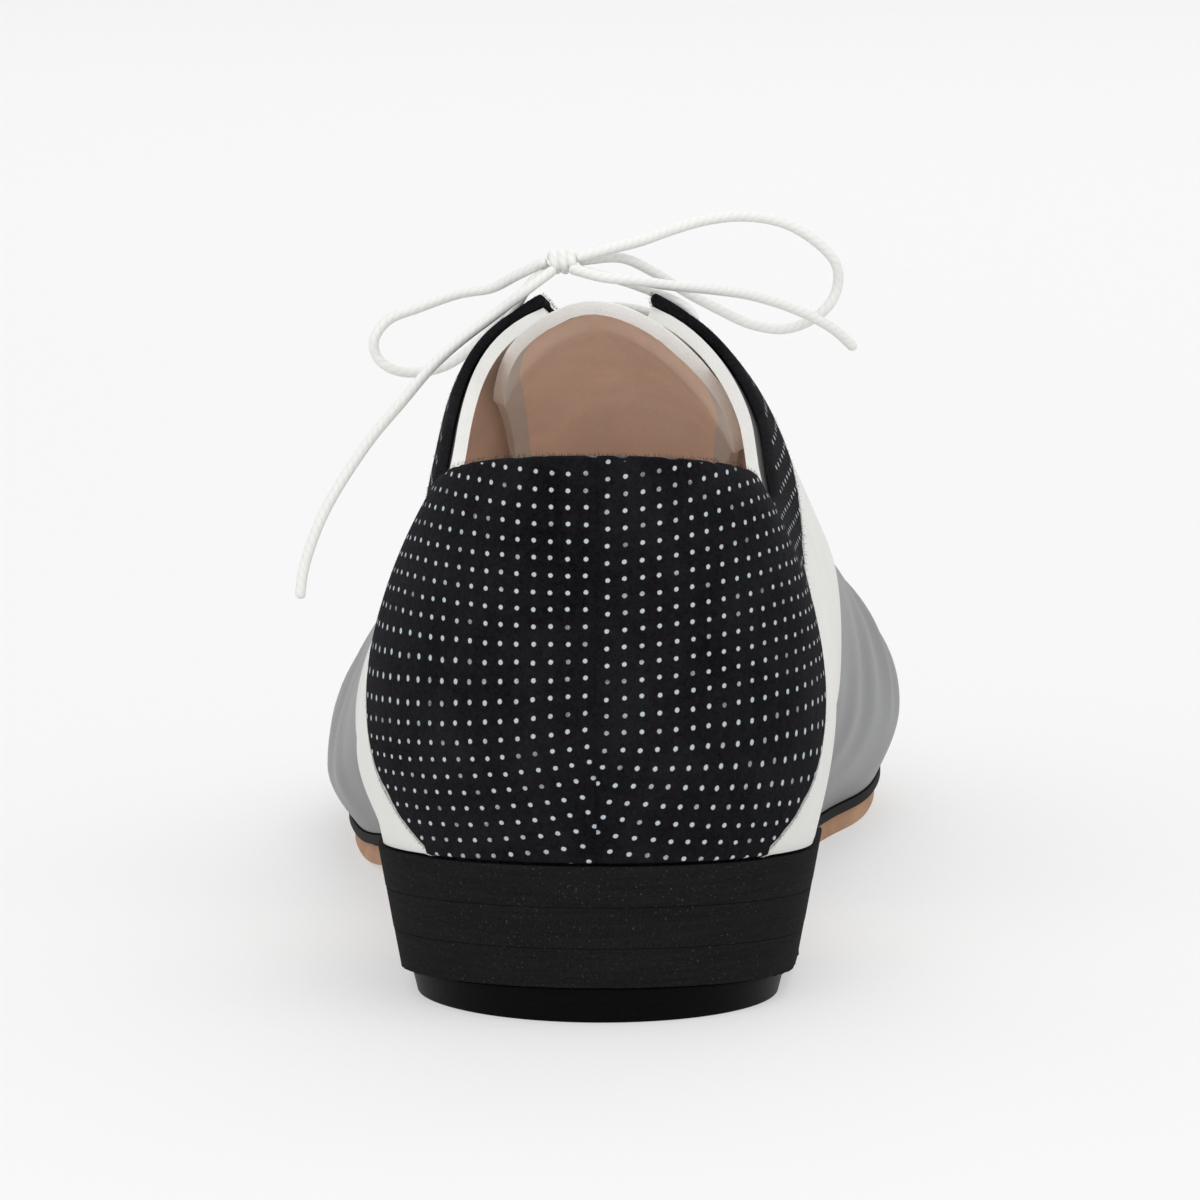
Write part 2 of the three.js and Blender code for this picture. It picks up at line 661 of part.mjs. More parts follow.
// A lace's stretch from one hole to another, over the facings and the slit between them, with its middle lifted
function laceStretch(fromPair, fromSide, toPair, toSide, lift) {
  const rest = shellOut + gap + laceRest;
  const from = laceHole(fromPair, fromSide);
  const to = laceHole(toPair, toSide);
  const steps = 6;
  const points = [];
  for (let i = 0; i <= steps; i += 1) {
    const share = i / steps;
    const at = THREE.MathUtils.lerp(from.at, to.at, share);
    const around = THREE.MathUtils.lerp(from.around, to.around, share);
    const rise = rest + lift * Math.sin(Math.PI * share) ** 2;
    points.push(lastPoint(at, around).addScaledVector(lastNormal(at, around), rise));
  }
  return cordSolid(points, steps);
}

// The lacing over the slit: bars across the bottom and the top pair of holes, and crossings between them, joined
// where they meet at the holes
function lacing() {
  const foot = lacePairs - 1;
  let lace = laceStretch(foot, 'lateral', foot, 'medial', 0).add(laceStretch(0, 'lateral', 0, 'medial', 0));
  for (let pair = 0; pair < foot; pair += 1) {
    lace = lace.add(laceStretch(pair + 1, 'lateral', pair, 'medial', 0));
    lace = lace.add(laceStretch(pair + 1, 'medial', pair, 'lateral', laceLift));
  }
  return lace;
}

function laceKnot() {
  const ball = new THREE.SphereGeometry(0.5, 10, 6);
  ball.scale(...knot.size);
  ball.translate(...knot.place);
  return solidFrom(ball);
}

const finishes = {
  suede: { color: 0x17181a, roughness: 0.95, metalness: 0 },
  whiteLeather: { color: 0xe9e8e4, roughness: 0.5, metalness: 0 },
  greyLeather: { color: 0x5e6063, roughness: 0.42, metalness: 0 },
  tanLeather: { color: 0xc79a73, roughness: 0.6, metalness: 0 },
  blackEdge: { color: 0x141416, roughness: 0.5, metalness: 0 },
  heelRubber: { color: 0x232426, roughness: 0.9, metalness: 0 },
  liftRubber: { color: 0x101012, roughness: 0.55, metalness: 0 },
  lining: { color: 0xd9b9a0, roughness: 0.7, metalness: 0 },
  cord: { color: 0xededea, roughness: 0.6, metalness: 0 },
};

const shoe = new THREE.Group();

function addPiece(name, solid, finish) {
  const mesh = new THREE.Mesh(geometryFrom(solid), new THREE.MeshStandardMaterial(finishes[finish]));
  mesh.name = name;
  shoe.add(mesh);
}

addPiece('upper', upper(), 'greyLeather');
for (const side of Object.keys(sideSigns)) {
  addPiece(`quarter_${side}`, quarter(side), 'suede');
  addPiece(`band_${side}`, band(side), 'whiteLeather');
}
addPiece('tongue', tongue(), 'whiteLeather');
addPiece('insole', insole(), 'lining');
addPiece('edge_band', edgeBand(), 'blackEdge');
addPiece('outsole', outsole(), 'tanLeather');
for (let number = 0; number < heelLayerCount; number += 1) {
  addPiece(`heel_layer_${number + 1}`, heelLayer(number), 'heelRubber');
}
addPiece('top_lift', topLift(), 'liftRubber');
addPiece('lacing', lacing(), 'cord');
const fixedBounds = new THREE.Box3().setFromObject(shoe);
addPiece('lace_knot', laceKnot(), 'cord');
for (const [name, { points, steps }] of Object.entries(laceRoutes)) {
  addPiece(`lace_${name}`, cordSolid(points.map((point) => new THREE.Vector3(...point)), steps), 'cord');
}

// The origin lies on the floor, under the middle of the shoe without its free lace
const middle = fixedBounds.getCenter(new THREE.Vector3());
shoe.position.set(-middle.x, -middle.y, -fixedBounds.min.z);

const part = new THREE.Group();
part.add(shoe);

export default part;
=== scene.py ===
import math

import bpy
import numpy as np
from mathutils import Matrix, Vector


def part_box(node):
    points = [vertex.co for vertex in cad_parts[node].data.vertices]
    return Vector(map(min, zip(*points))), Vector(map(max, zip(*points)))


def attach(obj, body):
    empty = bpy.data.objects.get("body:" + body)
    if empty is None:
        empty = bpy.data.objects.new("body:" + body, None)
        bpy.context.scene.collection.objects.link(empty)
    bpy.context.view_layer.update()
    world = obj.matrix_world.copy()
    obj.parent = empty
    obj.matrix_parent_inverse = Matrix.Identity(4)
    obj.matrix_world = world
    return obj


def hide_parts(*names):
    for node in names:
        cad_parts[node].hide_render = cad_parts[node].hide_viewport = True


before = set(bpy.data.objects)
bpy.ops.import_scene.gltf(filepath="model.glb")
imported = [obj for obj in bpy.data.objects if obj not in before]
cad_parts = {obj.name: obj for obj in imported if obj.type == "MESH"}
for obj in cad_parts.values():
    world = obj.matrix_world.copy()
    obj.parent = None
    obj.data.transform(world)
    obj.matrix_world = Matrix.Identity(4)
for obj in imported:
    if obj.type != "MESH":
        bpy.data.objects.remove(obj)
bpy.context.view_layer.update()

bl_info = {
    "name": "Tango practice shoe",
    "version": (1, 0, 0),
    "blender": (4, 5, 0),
    "location": "3D View > Sidebar > Tango shoe",
    "description": "Makes a low-heeled lace-up tango shoe of leather, dotted suede and rubber around its frame",
    "category": "Add Mesh",
}

SIDES = {"lateral": -1, "medial": 1}


def table(columns, rows):
    """Rows of numbers under named columns, as one array for each column"""
    values = np.array(rows, float)
    return {column: values[:, i] for i, column in enumerate(columns)}


# Sections of the last from heel back to toe tip, as shares of the sizes that they follow
SECTIONS = table(
    ("at", "lateral", "medial", "lateral_seam", "medial_seam", "lateral_belly", "medial_belly", "ridge",
     "ridge_shift", "fullness", "draw"),
    [
        (0.00, 0.342, 0.342, 0.950, 0.950, 0.30, 0.30, 1.030, 0.000, 2.00, 0.00),
        (0.06, 0.347, 0.339, 0.950, 0.950, 0.29, 0.30, 1.000, 0.000, 2.00, 0.00),
        (0.12, 0.360, 0.338, 0.935, 0.950, 0.25, 0.27, 0.945, 0.000, 1.90, 0.00),
        (0.18, 0.386, 0.348, 0.885, 0.930, 0.19, 0.24, 0.935, -0.006, 1.80, 0.02),
        (0.25, 0.400, 0.353, 0.870, 0.905, 0.18, 0.24, 0.970, -0.014, 1.80, 0.10),
        (0.32, 0.412, 0.350, 0.860, 0.825, 0.19, 0.26, 1.025, -0.036, 1.85, 0.16),
        (0.42, 0.440, 0.345, 0.850, 0.710, 0.19, 0.28, 1.020, -0.046, 1.85, 0.17),
        (0.48, 0.476, 0.360, 0.870, 0.690, 0.17, 0.28, 0.935, -0.026, 1.85, 0.13),
        (0.55, 0.518, 0.382, 0.900, 0.700, 0.14, 0.29, 0.790, -0.005, 1.90, 0.07),
        (0.65, 0.557, 0.411, 0.930, 0.765, 0.15, 0.31, 0.625, 0.025, 1.95, 0.02),
        (0.74, 0.566, 0.430, 0.940, 0.880, 0.19, 0.32, 0.500, 0.043, 2.00, 0.00),
        (0.84, 0.564, 0.434, 0.950, 0.945, 0.27, 0.34, 0.392, 0.043, 2.10, 0.00),
        (0.93, 0.563, 0.391, 0.960, 0.960, 0.33, 0.35, 0.318, 0.030, 2.20, 0.00),
        (1.00, 0.530, 0.360, 0.960, 0.960, 0.35, 0.35, 0.262, 0.000, 2.20, 0.00),
    ])

# The collar's edge, and the front edges of the panels: heights as shares of the instep height
TOP_LINE = table(
    ("at", "lateral", "medial"),
    [
        (-0.10, 0.895, 0.895), (0.00, 0.893, 0.893), (0.06, 0.860, 0.860), (0.12, 0.802, 0.812),
        (0.18, 0.738, 0.764), (0.22, 0.718, 0.750), (0.26, 0.752, 0.787), (0.30, 0.812, 0.828),
        (0.34, 0.860, 0.868), (0.38, 0.915, 0.915), (0.42, 0.980, 0.980),
    ])
QUARTER_EDGE = table(
    ("at", "height"),
    [
        (0.035, 0.10), (0.044, 0.24), (0.070, 0.30), (0.094, 0.36), (0.111, 0.44), (0.123, 0.51),
        (0.141, 0.565), (0.173, 0.615), (0.220, 0.650), (0.270, 0.690), (0.320, 0.745), (0.370, 0.810),
        (0.410, 0.860), (0.445, 0.900), (0.470, 0.960), (0.480, 1.10),
    ])
BAND_EDGE = table(
    ("at", "height"),
    [
        (0.370, -0.05), (0.385, 0.12), (0.405, 0.25), (0.432, 0.36), (0.468, 0.46), (0.520, 0.55),
        (0.570, 0.63), (0.592, 0.75), (0.600, 1.10),
    ])

# Places along the last, as shares of its length
TREAD_START, TREAD_END = 0.59, 0.70
SLIT_START, SLIT_END = 0.36, 0.60
TONGUE_START, TONGUE_END = 0.375, 0.64
PRESS_START, PRESS_END = 0.385, 0.62
TOP_HOLES, BOTTOM_HOLES = 0.435, 0.57
LACE_PAIRS = 4

# How the suede's pattern runs at the back seam. Its rows slope by the first number high up and by the second at the
# foot, changing between the two heights over the seat, in metres. Its columns lean out by the last near the foot.
PATTERN_WARP = {"lateral": (0.03, 0.20, 0.036, 0.014, 0.38), "medial": (-0.08, 0.16, 0.026, 0.002, 0.36)}

# The vamp's main creases: side, the way along it as (share of the length, climb) steps, then width and depth in
# metres. A negative depth is a ridge.
CREASES = (
    ("lateral", ((0.640, 0.20), (0.665, 0.45), (0.680, 0.70), (0.685, 0.95)), 0.0040, 0.00050),
    ("lateral", ((0.680, 0.25), (0.700, 0.50), (0.712, 0.80)), 0.0035, -0.00035),
    ("lateral", ((0.705, 0.15), (0.728, 0.40), (0.742, 0.75)), 0.0038, 0.00042),
    ("lateral", ((0.560, 0.15), (0.590, 0.32), (0.610, 0.50)), 0.0042, 0.00040),
    ("lateral", ((0.520, 0.10), (0.535, 0.25), (0.560, 0.38)), 0.0040, -0.00030),
    ("medial", ((0.635, 0.20), (0.655, 0.45), (0.675, 0.70), (0.685, 0.95)), 0.0040, 0.00050),
    ("medial", ((0.675, 0.20), (0.695, 0.50), (0.710, 0.80)), 0.0035, -0.00035),
    ("medial", ((0.700, 0.15), (0.722, 0.40), (0.740, 0.70)), 0.0038, 0.00042),
    ("medial", ((0.545, 0.12), (0.575, 0.28), (0.595, 0.46)), 0.0045, 0.00045),
    ("medial", ((0.500, 0.10), (0.520, 0.22), (0.545, 0.34)), 0.0040, -0.00035),
)

# Shares that shape the last
BELLY_CLIMB = 0.24
HEEL_BULGE = 0.36
HEEL_CURVE_REACH = 0.3
TOE_ROLL_REACH = 0.16
TOE_BLUNTNESS = 2.2
SPRING_CURVE = 1.7

# The free lace, in metres from the heel back: its knot, and the routes of its loops and ends as they lie
KNOT_PLACE = (-0.0080, 0.1110, 0.0986)
LACE_ROUTES = {
    "lace_loop_left": [
        (-0.0119, 0.1098, 0.0990), (-0.0150, 0.1130, 0.0963), (-0.0190, 0.1160, 0.0940),
        (-0.0240, 0.1170, 0.0930), (-0.0300, 0.1160, 0.0910), (-0.0350, 0.1150, 0.0890),
        (-0.0370, 0.1140, 0.0860), (-0.0365, 0.1140, 0.0835), (-0.0345, 0.1140, 0.0818),
        (-0.0310, 0.1150, 0.0810), (-0.0260, 0.1160, 0.0820), (-0.0210, 0.1170, 0.0855),
        (-0.0160, 0.1165, 0.0910), (-0.0114, 0.1132, 0.0976)],
    "lace_loop_right": [
        (-0.0046, 0.1108, 0.0996), (-0.0010, 0.1130, 0.1003), (0.0040, 0.1170, 0.1012),
        (0.0090, 0.1210, 0.1026), (0.0140, 0.1235, 0.1038), (0.0200, 0.1255, 0.1042),
        (0.0260, 0.1270, 0.1030), (0.0310, 0.1280, 0.1000), (0.0340, 0.1290, 0.0965),
        (0.0343, 0.1300, 0.0930), (0.0330, 0.1300, 0.0900), (0.0300, 0.1300, 0.0875),
        (0.0260, 0.1300, 0.0862), (0.0210, 0.1290, 0.0870), (0.0160, 0.1270, 0.0895),
        (0.0110, 0.1240, 0.0925), (0.0060, 0.1205, 0.0960), (0.0010, 0.1170, 0.0986),
        (-0.0041, 0.1137, 0.0986)],
    "lace_end_left": [
        (-0.0096, 0.1074, 0.0973), (-0.0130, 0.1063, 0.0950), (-0.0180, 0.1072, 0.0910),
        (-0.0240, 0.1055, 0.0865), (-0.0280, 0.1020, 0.0830), (-0.0320, 0.0980, 0.0785),
        (-0.0360, 0.0950, 0.0740), (-0.0390, 0.0920, 0.0700), (-0.0413, 0.0900, 0.0665),
        (-0.0433, 0.0885, 0.0630), (-0.0452, 0.0870, 0.0585), (-0.0465, 0.0860, 0.0540),
        (-0.0470, 0.0850, 0.0500)],
    "lace_end_right": [
        (-0.0060, 0.1074, 0.0974), (-0.0015, 0.1060, 0.0968), (0.0040, 0.1065, 0.0962),
        (0.0090, 0.1090, 0.0952), (0.0150, 0.1130, 0.0942), (0.0210, 0.1175, 0.0928),
        (0.0280, 0.1225, 0.0900), (0.0335, 0.1265, 0.0867), (0.0370, 0.1300, 0.0832)],
}


# Sizes and colours that a user would change

def length(name, description, default):
    return bpy.props.FloatProperty(name=name, description=description, default=default, unit="LENGTH",
                                   subtype="DISTANCE", precision=5)


def colour(name, description, default):
    return bpy.props.FloatVectorProperty(name=name, description=description, default=default, subtype="COLOR",
                                         min=0, max=1)


class LastSizes(bpy.types.PropertyGroup):
    """Sizes of the last, outside of the upper"""
    upper_length: length("Length", "Heel back to toe tip", 0.252)
    ball_width: length("Ball width", "Across the widest part of the forefoot", 0.092)
    instep_height: length("Instep height", "Floor to the ridge of the instep", 0.093)
    heel_height: length("Heel height", "Floor to the heel seat, at the back", 0.024)
    seat_pitch: bpy.props.FloatProperty(name="Seat pitch", description="Fall of the heel seat toward the front",
                                        default=math.radians(4), subtype="ANGLE", unit="ROTATION")
    heel_length: length("Heel length", "Heel back to breast", 0.060)
    heel_radius: length("Heel radius", "Length over which the heel end rounds off", 0.031)
    toe_taper: length("Toe taper", "Length over which the toe end rounds off", 0.080)
    toe_spring: length("Toe spring", "Rise of the toe tip over the tread", 0.012)
    toe_swing: length("Toe swing", "Shift of the toe tip to the medial side", 0.010)
    toe_roll: length("Toe roll", "How far the top of the toe tip lies behind its foot", 0.006)
    heel_lean: length("Heel lean", "How far the top of the heel curve leans forward", 0.005)
    heel_tuck: length("Heel tuck", "How far the foot of the heel curve tucks forward", 0.0015)


class LeatherSizes(bpy.types.PropertyGroup):
    """Sizes of the upper's pieces"""
    wall: length("Upper wall", "Thickness of vamp and lining together", 0.002)
    quarter: length("Quarter", "Thickness of the suede quarters", 0.0016)
    band: length("Band", "Thickness of the white bands", 0.0008)
    raw_edge: length("Raw edge", "Width of the pale strip along the suede's cut edge", 0.0012)
    fibre: length("Fibre", "Length of the suede's loose fibres", 0.00045)
    fibre_count: bpy.props.IntProperty(name="Fibres", description="Loose fibres along the collar of one quarter",
                                       default=1800, min=10)
    slit_top: length("Slit top", "Throat slit's width at the collar", 0.017)
    slit_foot: length("Slit foot", "Throat slit's width at the vamp", 0.009)
    tongue: length("Tongue", "Thickness of the tongue", 0.002)
    tongue_width: length("Tongue width", "Width of the tongue", 0.040)
    tongue_foot: length("Tongue foot", "Width of the tongue's fixed end", 0.032)
    tongue_corner: length("Tongue corner", "Radius of the tongue's free corners", 0.012)
    tongue_press: length("Tongue press", "How far the lace presses the tongue down", 0.0021)
    hole_diameter: length("Lace hole", "Diameter of a lace hole", 0.003)
    hole_inset: length("Lace hole inset", "Slit edge to the centre of a lace hole", 0.0055)
    dot_pitch: length("Dot pitch", "Distance between the dots of a row on the suede", 0.00253)
    row_pitch: length("Row pitch", "Distance between the rows of dots", 0.00242)
    dot_diameter: length("Dot diameter", "Diameter of a dot on the suede", 0.00070)


class SoleSizes(bpy.types.PropertyGroup):
    """Sizes of the sole and the heel"""
    gap: length("Gap", "Clearance between pieces that meet", 0.0003)
    insole: length("Insole", "Thickness of the insole", 0.0025)
    edge_band: length("Edge band", "Thickness of the black edge band", 0.0015)
    edge_band_margin: length("Edge band margin", "How far the edge band stands out", 0.0002)
    outsole: length("Outsole", "Thickness of the outsole", 0.003)
    outsole_inset: length("Outsole inset", "How far the outsole stands in", 0.0008)
    heel_taper: length("Heel taper", "How far the heel block draws in toward its foot", 0.0034)
    heel_layers: bpy.props.IntProperty(name="Heel layers", description="Number of rubber layers", default=3, min=1)
    lift_front: length("Top lift front", "Thickness of the top lift at the breast", 0.0012)
    lift_inset: length("Top lift inset", "How far the top lift stands in from the block", 0.0016)


class LaceSizes(bpy.types.PropertyGroup):
    """Sizes of the lace"""
    diameter: length("Diameter", "Diameter of the waxed cord", 0.0016)
    twist: length("Twist", "Length of one turn of the cord's strands", 0.0042)


class ShoeColours(bpy.types.PropertyGroup):
    """Colours of the shoe's materials"""
    suede: colour("Suede", "Black nap of the quarters", (0.0034, 0.0032, 0.0037))
    dots: colour("Dots", "Printed dots on the suede", (0.50, 0.56, 0.61))
    raw_edge: colour("Raw edge", "Cut edge of the suede", (0.60, 0.59, 0.56))
    white_leather: colour("White leather", "Bands and tongue", (0.72, 0.715, 0.69))
    grey_leather: colour("Grey leather", "Vamp", (0.132, 0.134, 0.138))
    lining: colour("Lining", "Leather lining and insole", (0.93, 0.76, 0.65))
    tan_leather: colour("Tan leather", "Outsole", (0.42, 0.235, 0.135))
    black_edge: colour("Black edge", "Edge band", (0.008, 0.008, 0.009))
    heel_rubber: colour("Heel rubber", "Layers of the heel block", (0.0105, 0.0105, 0.0108))
    lift_rubber: colour("Lift rubber", "Top lift", (0.0020, 0.0020, 0.0022))
    lace: colour("Lace", "Waxed cord", (0.78, 0.78, 0.76))
    floor: colour("Floor", "Floor of the stage", (0.42, 0.42, 0.42))


# The last

def read_column(rows, column, at):
    """One column of a table at shares of the length, by cubic pieces through its rows"""
    ats, values = rows["at"], rows[column]
    spans = np.diff(ats)
    slopes = np.diff(values) / spans
    inner = (slopes[1:] * spans[:-1] + slopes[:-1] * spans[1:]) / (spans[:-1] + spans[1:])
    tangents = np.concatenate(([slopes[0]], inner, [slopes[-1]]))
    low = np.clip(np.searchsorted(ats, at) - 1, 0, len(ats) - 2)
    span = spans[low]
    t = np.clip((at - ats[low]) / span, 0, 1)
    return ((2 * t**3 - 3 * t**2 + 1) * values[low] + (t**3 - 2 * t**2 + t) * span * tangents[low]
            + (3 * t**2 - 2 * t**3) * values[low + 1] + (t**3 - t**2) * span * tangents[low + 1])


def smooth_step(value):
    t = np.clip(value, 0, 1)
    return t * t * (3 - 2 * t)


def unit(vectors):
    return vectors / np.maximum(np.linalg.norm(vectors, axis=-1, keepdims=True), 1e-12)


class Last:
    """The form over which the upper is made. A place on it is at, the share of the length, and around, which runs
    from -1 at the lateral sole seam over 0 at the ridge to 1 at the medial seam."""

    def __init__(self, scene):
        self.sizes = scene.shoe_last
        self.leather = scene.shoe_leather
        self.sole = scene.shoe_sole
        self.length = self.sizes.upper_length
        self.slope = math.tan(self.sizes.seat_pitch)
        self.stack = self.sole.outsole + self.sole.edge_band + 2 * self.sole.gap
        self.breast_height = self.sizes.heel_height - self.sizes.heel_length * self.slope
        self.shell_out = self.sole.gap + self.leather.quarter
        self.shift = np.zeros(3)
        self.shift = self.frame_shift()

    def frame_shift(self):
        """From the heel back's own place to the place of the CAD's pieces"""
        at, around = np.meshgrid(np.linspace(0, 1, 200), np.linspace(-1, 1, 81))
        surface = self.point(at, around)
        low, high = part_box("upper")
        middle = (surface[..., 0].min() + surface[..., 0].max()) / 2
        return np.array([(low.x + high.x) / 2 - middle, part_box("top_lift")[1].y - self.sizes.heel_length, 0])

    def seam_height(self, y):
        """Height of the sole seam over the floor, at a distance from the heel back"""
        sizes = self.sizes
        tread_from, tread_to = TREAD_START * self.length, TREAD_END * self.length
        span = tread_from - sizes.heel_length
        t = np.clip((y - sizes.heel_length) / span, 0, 1)
        arch = (self.stack + (self.breast_height - self.stack) * (2 * t**3 - 3 * t**2 + 1)
                - self.slope * span * (t**3 - 2 * t**2 + t))
        rise = np.clip((y - tread_to) / (self.length - tread_to), 0, None)
        spring = self.stack + sizes.toe_spring * rise**SPRING_CURVE
        seat = sizes.heel_height - y * self.slope
        return np.where(y <= sizes.heel_length, seat, np.where(y < tread_from, arch, spring))

    def point(self, at, around):
        """Points on the outside of the last"""
        sizes = self.sizes
        at, around = np.broadcast_arrays(np.asarray(at, float), np.asarray(around, float))
        medial = around >= 0
        sign = np.where(medial, 1.0, -1.0)
        climb = 1 - np.abs(around)

        def by_side(column):
            return np.where(medial, read_column(SECTIONS, "medial" + column, at),
                            read_column(SECTIONS, "lateral" + column, at))

        y = at * self.length
        heel_part = np.clip(y / sizes.heel_radius, 0, 1)
        toe_part = np.clip((self.length - y) / sizes.toe_taper, 0, 1)
        rounding = np.sqrt(1 - (1 - heel_part)**2) * np.sqrt(1 - (1 - toe_part)**TOE_BLUNTNESS)
        wide = sign * sizes.ball_width * by_side("") * rounding
        seam_wide = wide * by_side("_seam")
        low = self.seam_height(y)
        high = sizes.instep_height * read_column(SECTIONS, "ridge", at)
        belly = low + (high - low) * by_side("_belly")
        ridge = sizes.ball_width * read_column(SECTIONS, "ridge_shift", at) * rounding
        part = np.clip(climb / BELLY_CLIMB, 0, 1)
        angle = np.clip((climb - BELLY_CLIMB) / (1 - BELLY_CLIMB), 0, 1) * math.pi / 2
        power = 2 / read_column(SECTIONS, "fullness", at)
        rise = np.sin(angle)**power
        draw = np.where(medial, 0, read_column(SECTIONS, "draw", at) * np.sin(math.pi * rise)**2)
        under = climb < BELLY_CLIMB
        x = np.where(under, seam_wide + (wide - seam_wide) * np.sin(part * math.pi / 2),
                     ridge + (wide - ridge) * np.maximum(0, np.cos(angle))**power * (1 - draw))
        z = np.where(under, low + (belly - low) * part, belly + (high - belly) * rise)
        top = TOP_LINE["lateral"][1] * sizes.instep_height
        bulge = sizes.heel_height + (top - sizes.heel_height) * HEEL_BULGE
        above = z > bulge
        span = np.where(above, top - bulge, bulge - sizes.heel_height)
        depth = np.where(above, sizes.heel_lean, sizes.heel_tuck)
        heel_curve = depth * ((z - bulge) / span)**2 * (1 - smooth_step(at / HEEL_CURVE_REACH))
        roll = sizes.toe_roll * climb**2 * smooth_step((at - 1 + TOE_ROLL_REACH) / TOE_ROLL_REACH)
        return np.stack([sizes.toe_swing * at**2 + x, y + heel_curve - roll, z], axis=-1) + self.shift

    def turned_point(self, turn, around):
        """A point by its turn, which is 0 at the heel back and pi at the toe tip. Past an end it is on the other
        side."""
        beyond = (turn < 0) | (turn > math.pi)
        return self.point((1 - np.cos(turn)) / 2, np.where(beyond, -around, around))

    def normal(self, at, around):
        """The outward direction of the surface"""
        step, step_around = 0.012, 0.008
        at, around = np.broadcast_arrays(np.asarray(at, float), np.asarray(around, float))
        turn = np.arccos(np.clip(1 - 2 * at, -1, 1))
        near = np.clip(around, step_around - 1, 1 - step_around)
        along = self.turned_point(turn + step, near) - self.turned_point(turn - step, near)
        inside = np.clip(turn, step / 8, math.pi - step / 8)
        across = (self.turned_point(inside, near + step_around) - self.turned_point(inside, near - step_around))
        return unit(np.cross(across, along))

    def shell(self, at, around, offset):
        """Points at a distance outside the last. Those at the seam stay on the seam's height."""
        at, around = np.broadcast_arrays(np.asarray(at, float), np.asarray(around, float))
        points = self.point(at, around) + self.normal(at, around) * np.asarray(offset)[..., None]
        seam = self.seam_height(points[..., 1] - self.shift[1])
        points[..., 2] = np.where(np.abs(around) > 1 - 1e-9, seam, points[..., 2])
        return points

    def ridge_x(self, at):
        return self.point(at, np.zeros_like(np.asarray(at, float)))[..., 0]

    def climb_where(self, side, at, offset, below):
        """The highest climb, from 0 at the seam to 1 at the ridge, up to which below(points) holds"""
        near, far = np.zeros_like(at), np.ones_like(at)
        for _ in range(30):
            middle = (near + far) / 2
            holds = below(self.shell(at, SIDES[side] * (1 - middle), offset))
            near, far = np.where(holds, middle, near), np.where(holds, far, middle)
        return np.where(near > 1 - 1e-6, 1, np.where(far < 1e-6, 0, near))

    def climb_to_height(self, side, at, offset, rows, column):
        """The climb at which a piece reaches the height that a table gives for its place in the side view"""
        def below(points):
            share = (points[..., 1] - self.shift[1]) / self.length
            return points[..., 2] < read_column(rows, column, share) * self.sizes.instep_height
        return self.climb_where(side, at, offset, below)

    def climb_to_edge(self, side, at, offset, rows, drop=0.0):
        """The climb at which a piece reaches the smooth line through a table's points in the side view"""
        line = smooth_path(np.stack([rows["at"], rows["height"]], axis=-1), 12)
        places = np.maximum.accumulate(line[:, 0])

        def below(points):
            share = (points[..., 1] - self.shift[1]) / self.length
            return points[..., 2] < np.interp(share, places, line[:, 1]) * self.sizes.instep_height - drop
        return self.climb_where(side, at, offset, below)

    def climb_at_distance(self, side, at, distance, offset=0.0):
        """The climb at which the surface is as far from the ridge, in plan, as a distance"""
        ridge = self.ridge_x(at)
        return self.climb_where(side, at, offset, lambda points: np.abs(points[..., 0] - ridge) > distance)

    def slit_half(self, at):
        start = TOP_LINE["at"][-1]
        share = np.clip((at - start) / (SLIT_END - start), 0, 1)
        return (self.leather.slit_top + (self.leather.slit_foot - self.leather.slit_top) * share) / 2

    def top_climb(self, side, at, offset):
        """The climb of the upper's free edge: the collar, then the throat's slit, then the closed ridge"""
        collar = np.where(at > TOP_LINE["at"][-1], 1.0, self.climb_to_height(side, at, offset, TOP_LINE, side))
        radius = self.leather.slit_foot / 2
        past = np.clip(at * self.length - (SLIT_END * self.length - radius), 0, radius)
        half = np.minimum(self.slit_half(at), np.where(past > 0, np.sqrt(radius**2 - past**2), 1.0))
        slit = self.climb_at_distance(side, at, half, offset)
        slit = np.where((at < SLIT_START) | (at > SLIT_END), 1.0, slit)
        return np.minimum(collar, slit)

    def hole(self, pair):
        at = TOP_HOLES + (BOTTOM_HOLES - TOP_HOLES) * pair / (LACE_PAIRS - 1)
        return at, float(self.slit_half(at)) + self.leather.hole_inset

    def at_ridge_distance(self, at, distance, offset):
        """A point by its signed distance from the ridge in plan"""
        side = "lateral" if distance < 0 else "medial"
        climb = self.climb_at_distance(side, np.array([at]), abs(distance))
        return self.shell(np.array([at]), SIDES[side] * (1 - climb), offset)[0]

    def outline(self, at, side, margin):
        """The sole's outline in plan, moved out by a margin"""
        step = 0.01
        sign = SIDES[side]
        turn = np.arccos(np.clip(1 - 2 * np.asarray(at, float), -1, 1))
        along = self.turned_point(turn + step, sign) - self.turned_point(turn - step, sign)
        along[..., 2] = 0
        along = unit(along)
        out = np.stack([sign * along[..., 1], -sign * along[..., 0], np.zeros_like(along[..., 0])], axis=-1)
        return self.point(at, sign) + out * margin


# Making pieces

def pick(piece):
    bpy.ops.object.select_all(action="DESELECT")
    piece.select_set(True)
    bpy.context.view_layer.objects.active = piece


def edit(piece, *steps):
    """Runs mesh operators on the whole piece in edit mode"""
    pick(piece)
    bpy.ops.object.mode_set(mode="EDIT")
    bpy.ops.mesh.select_all(action="SELECT")
    for step, settings in steps:
        step(**settings)
    bpy.ops.object.mode_set(mode="OBJECT")


def modify(piece, kind, **settings):
    """Adds a modifier and applies it"""
    pick(piece)
    bpy.ops.object.modifier_add(type=kind)
    modifier = piece.modifiers[-1]
    for name, value in settings.items():
        setattr(modifier, name, value)
    bpy.ops.object.modifier_apply(modifier=modifier.name)


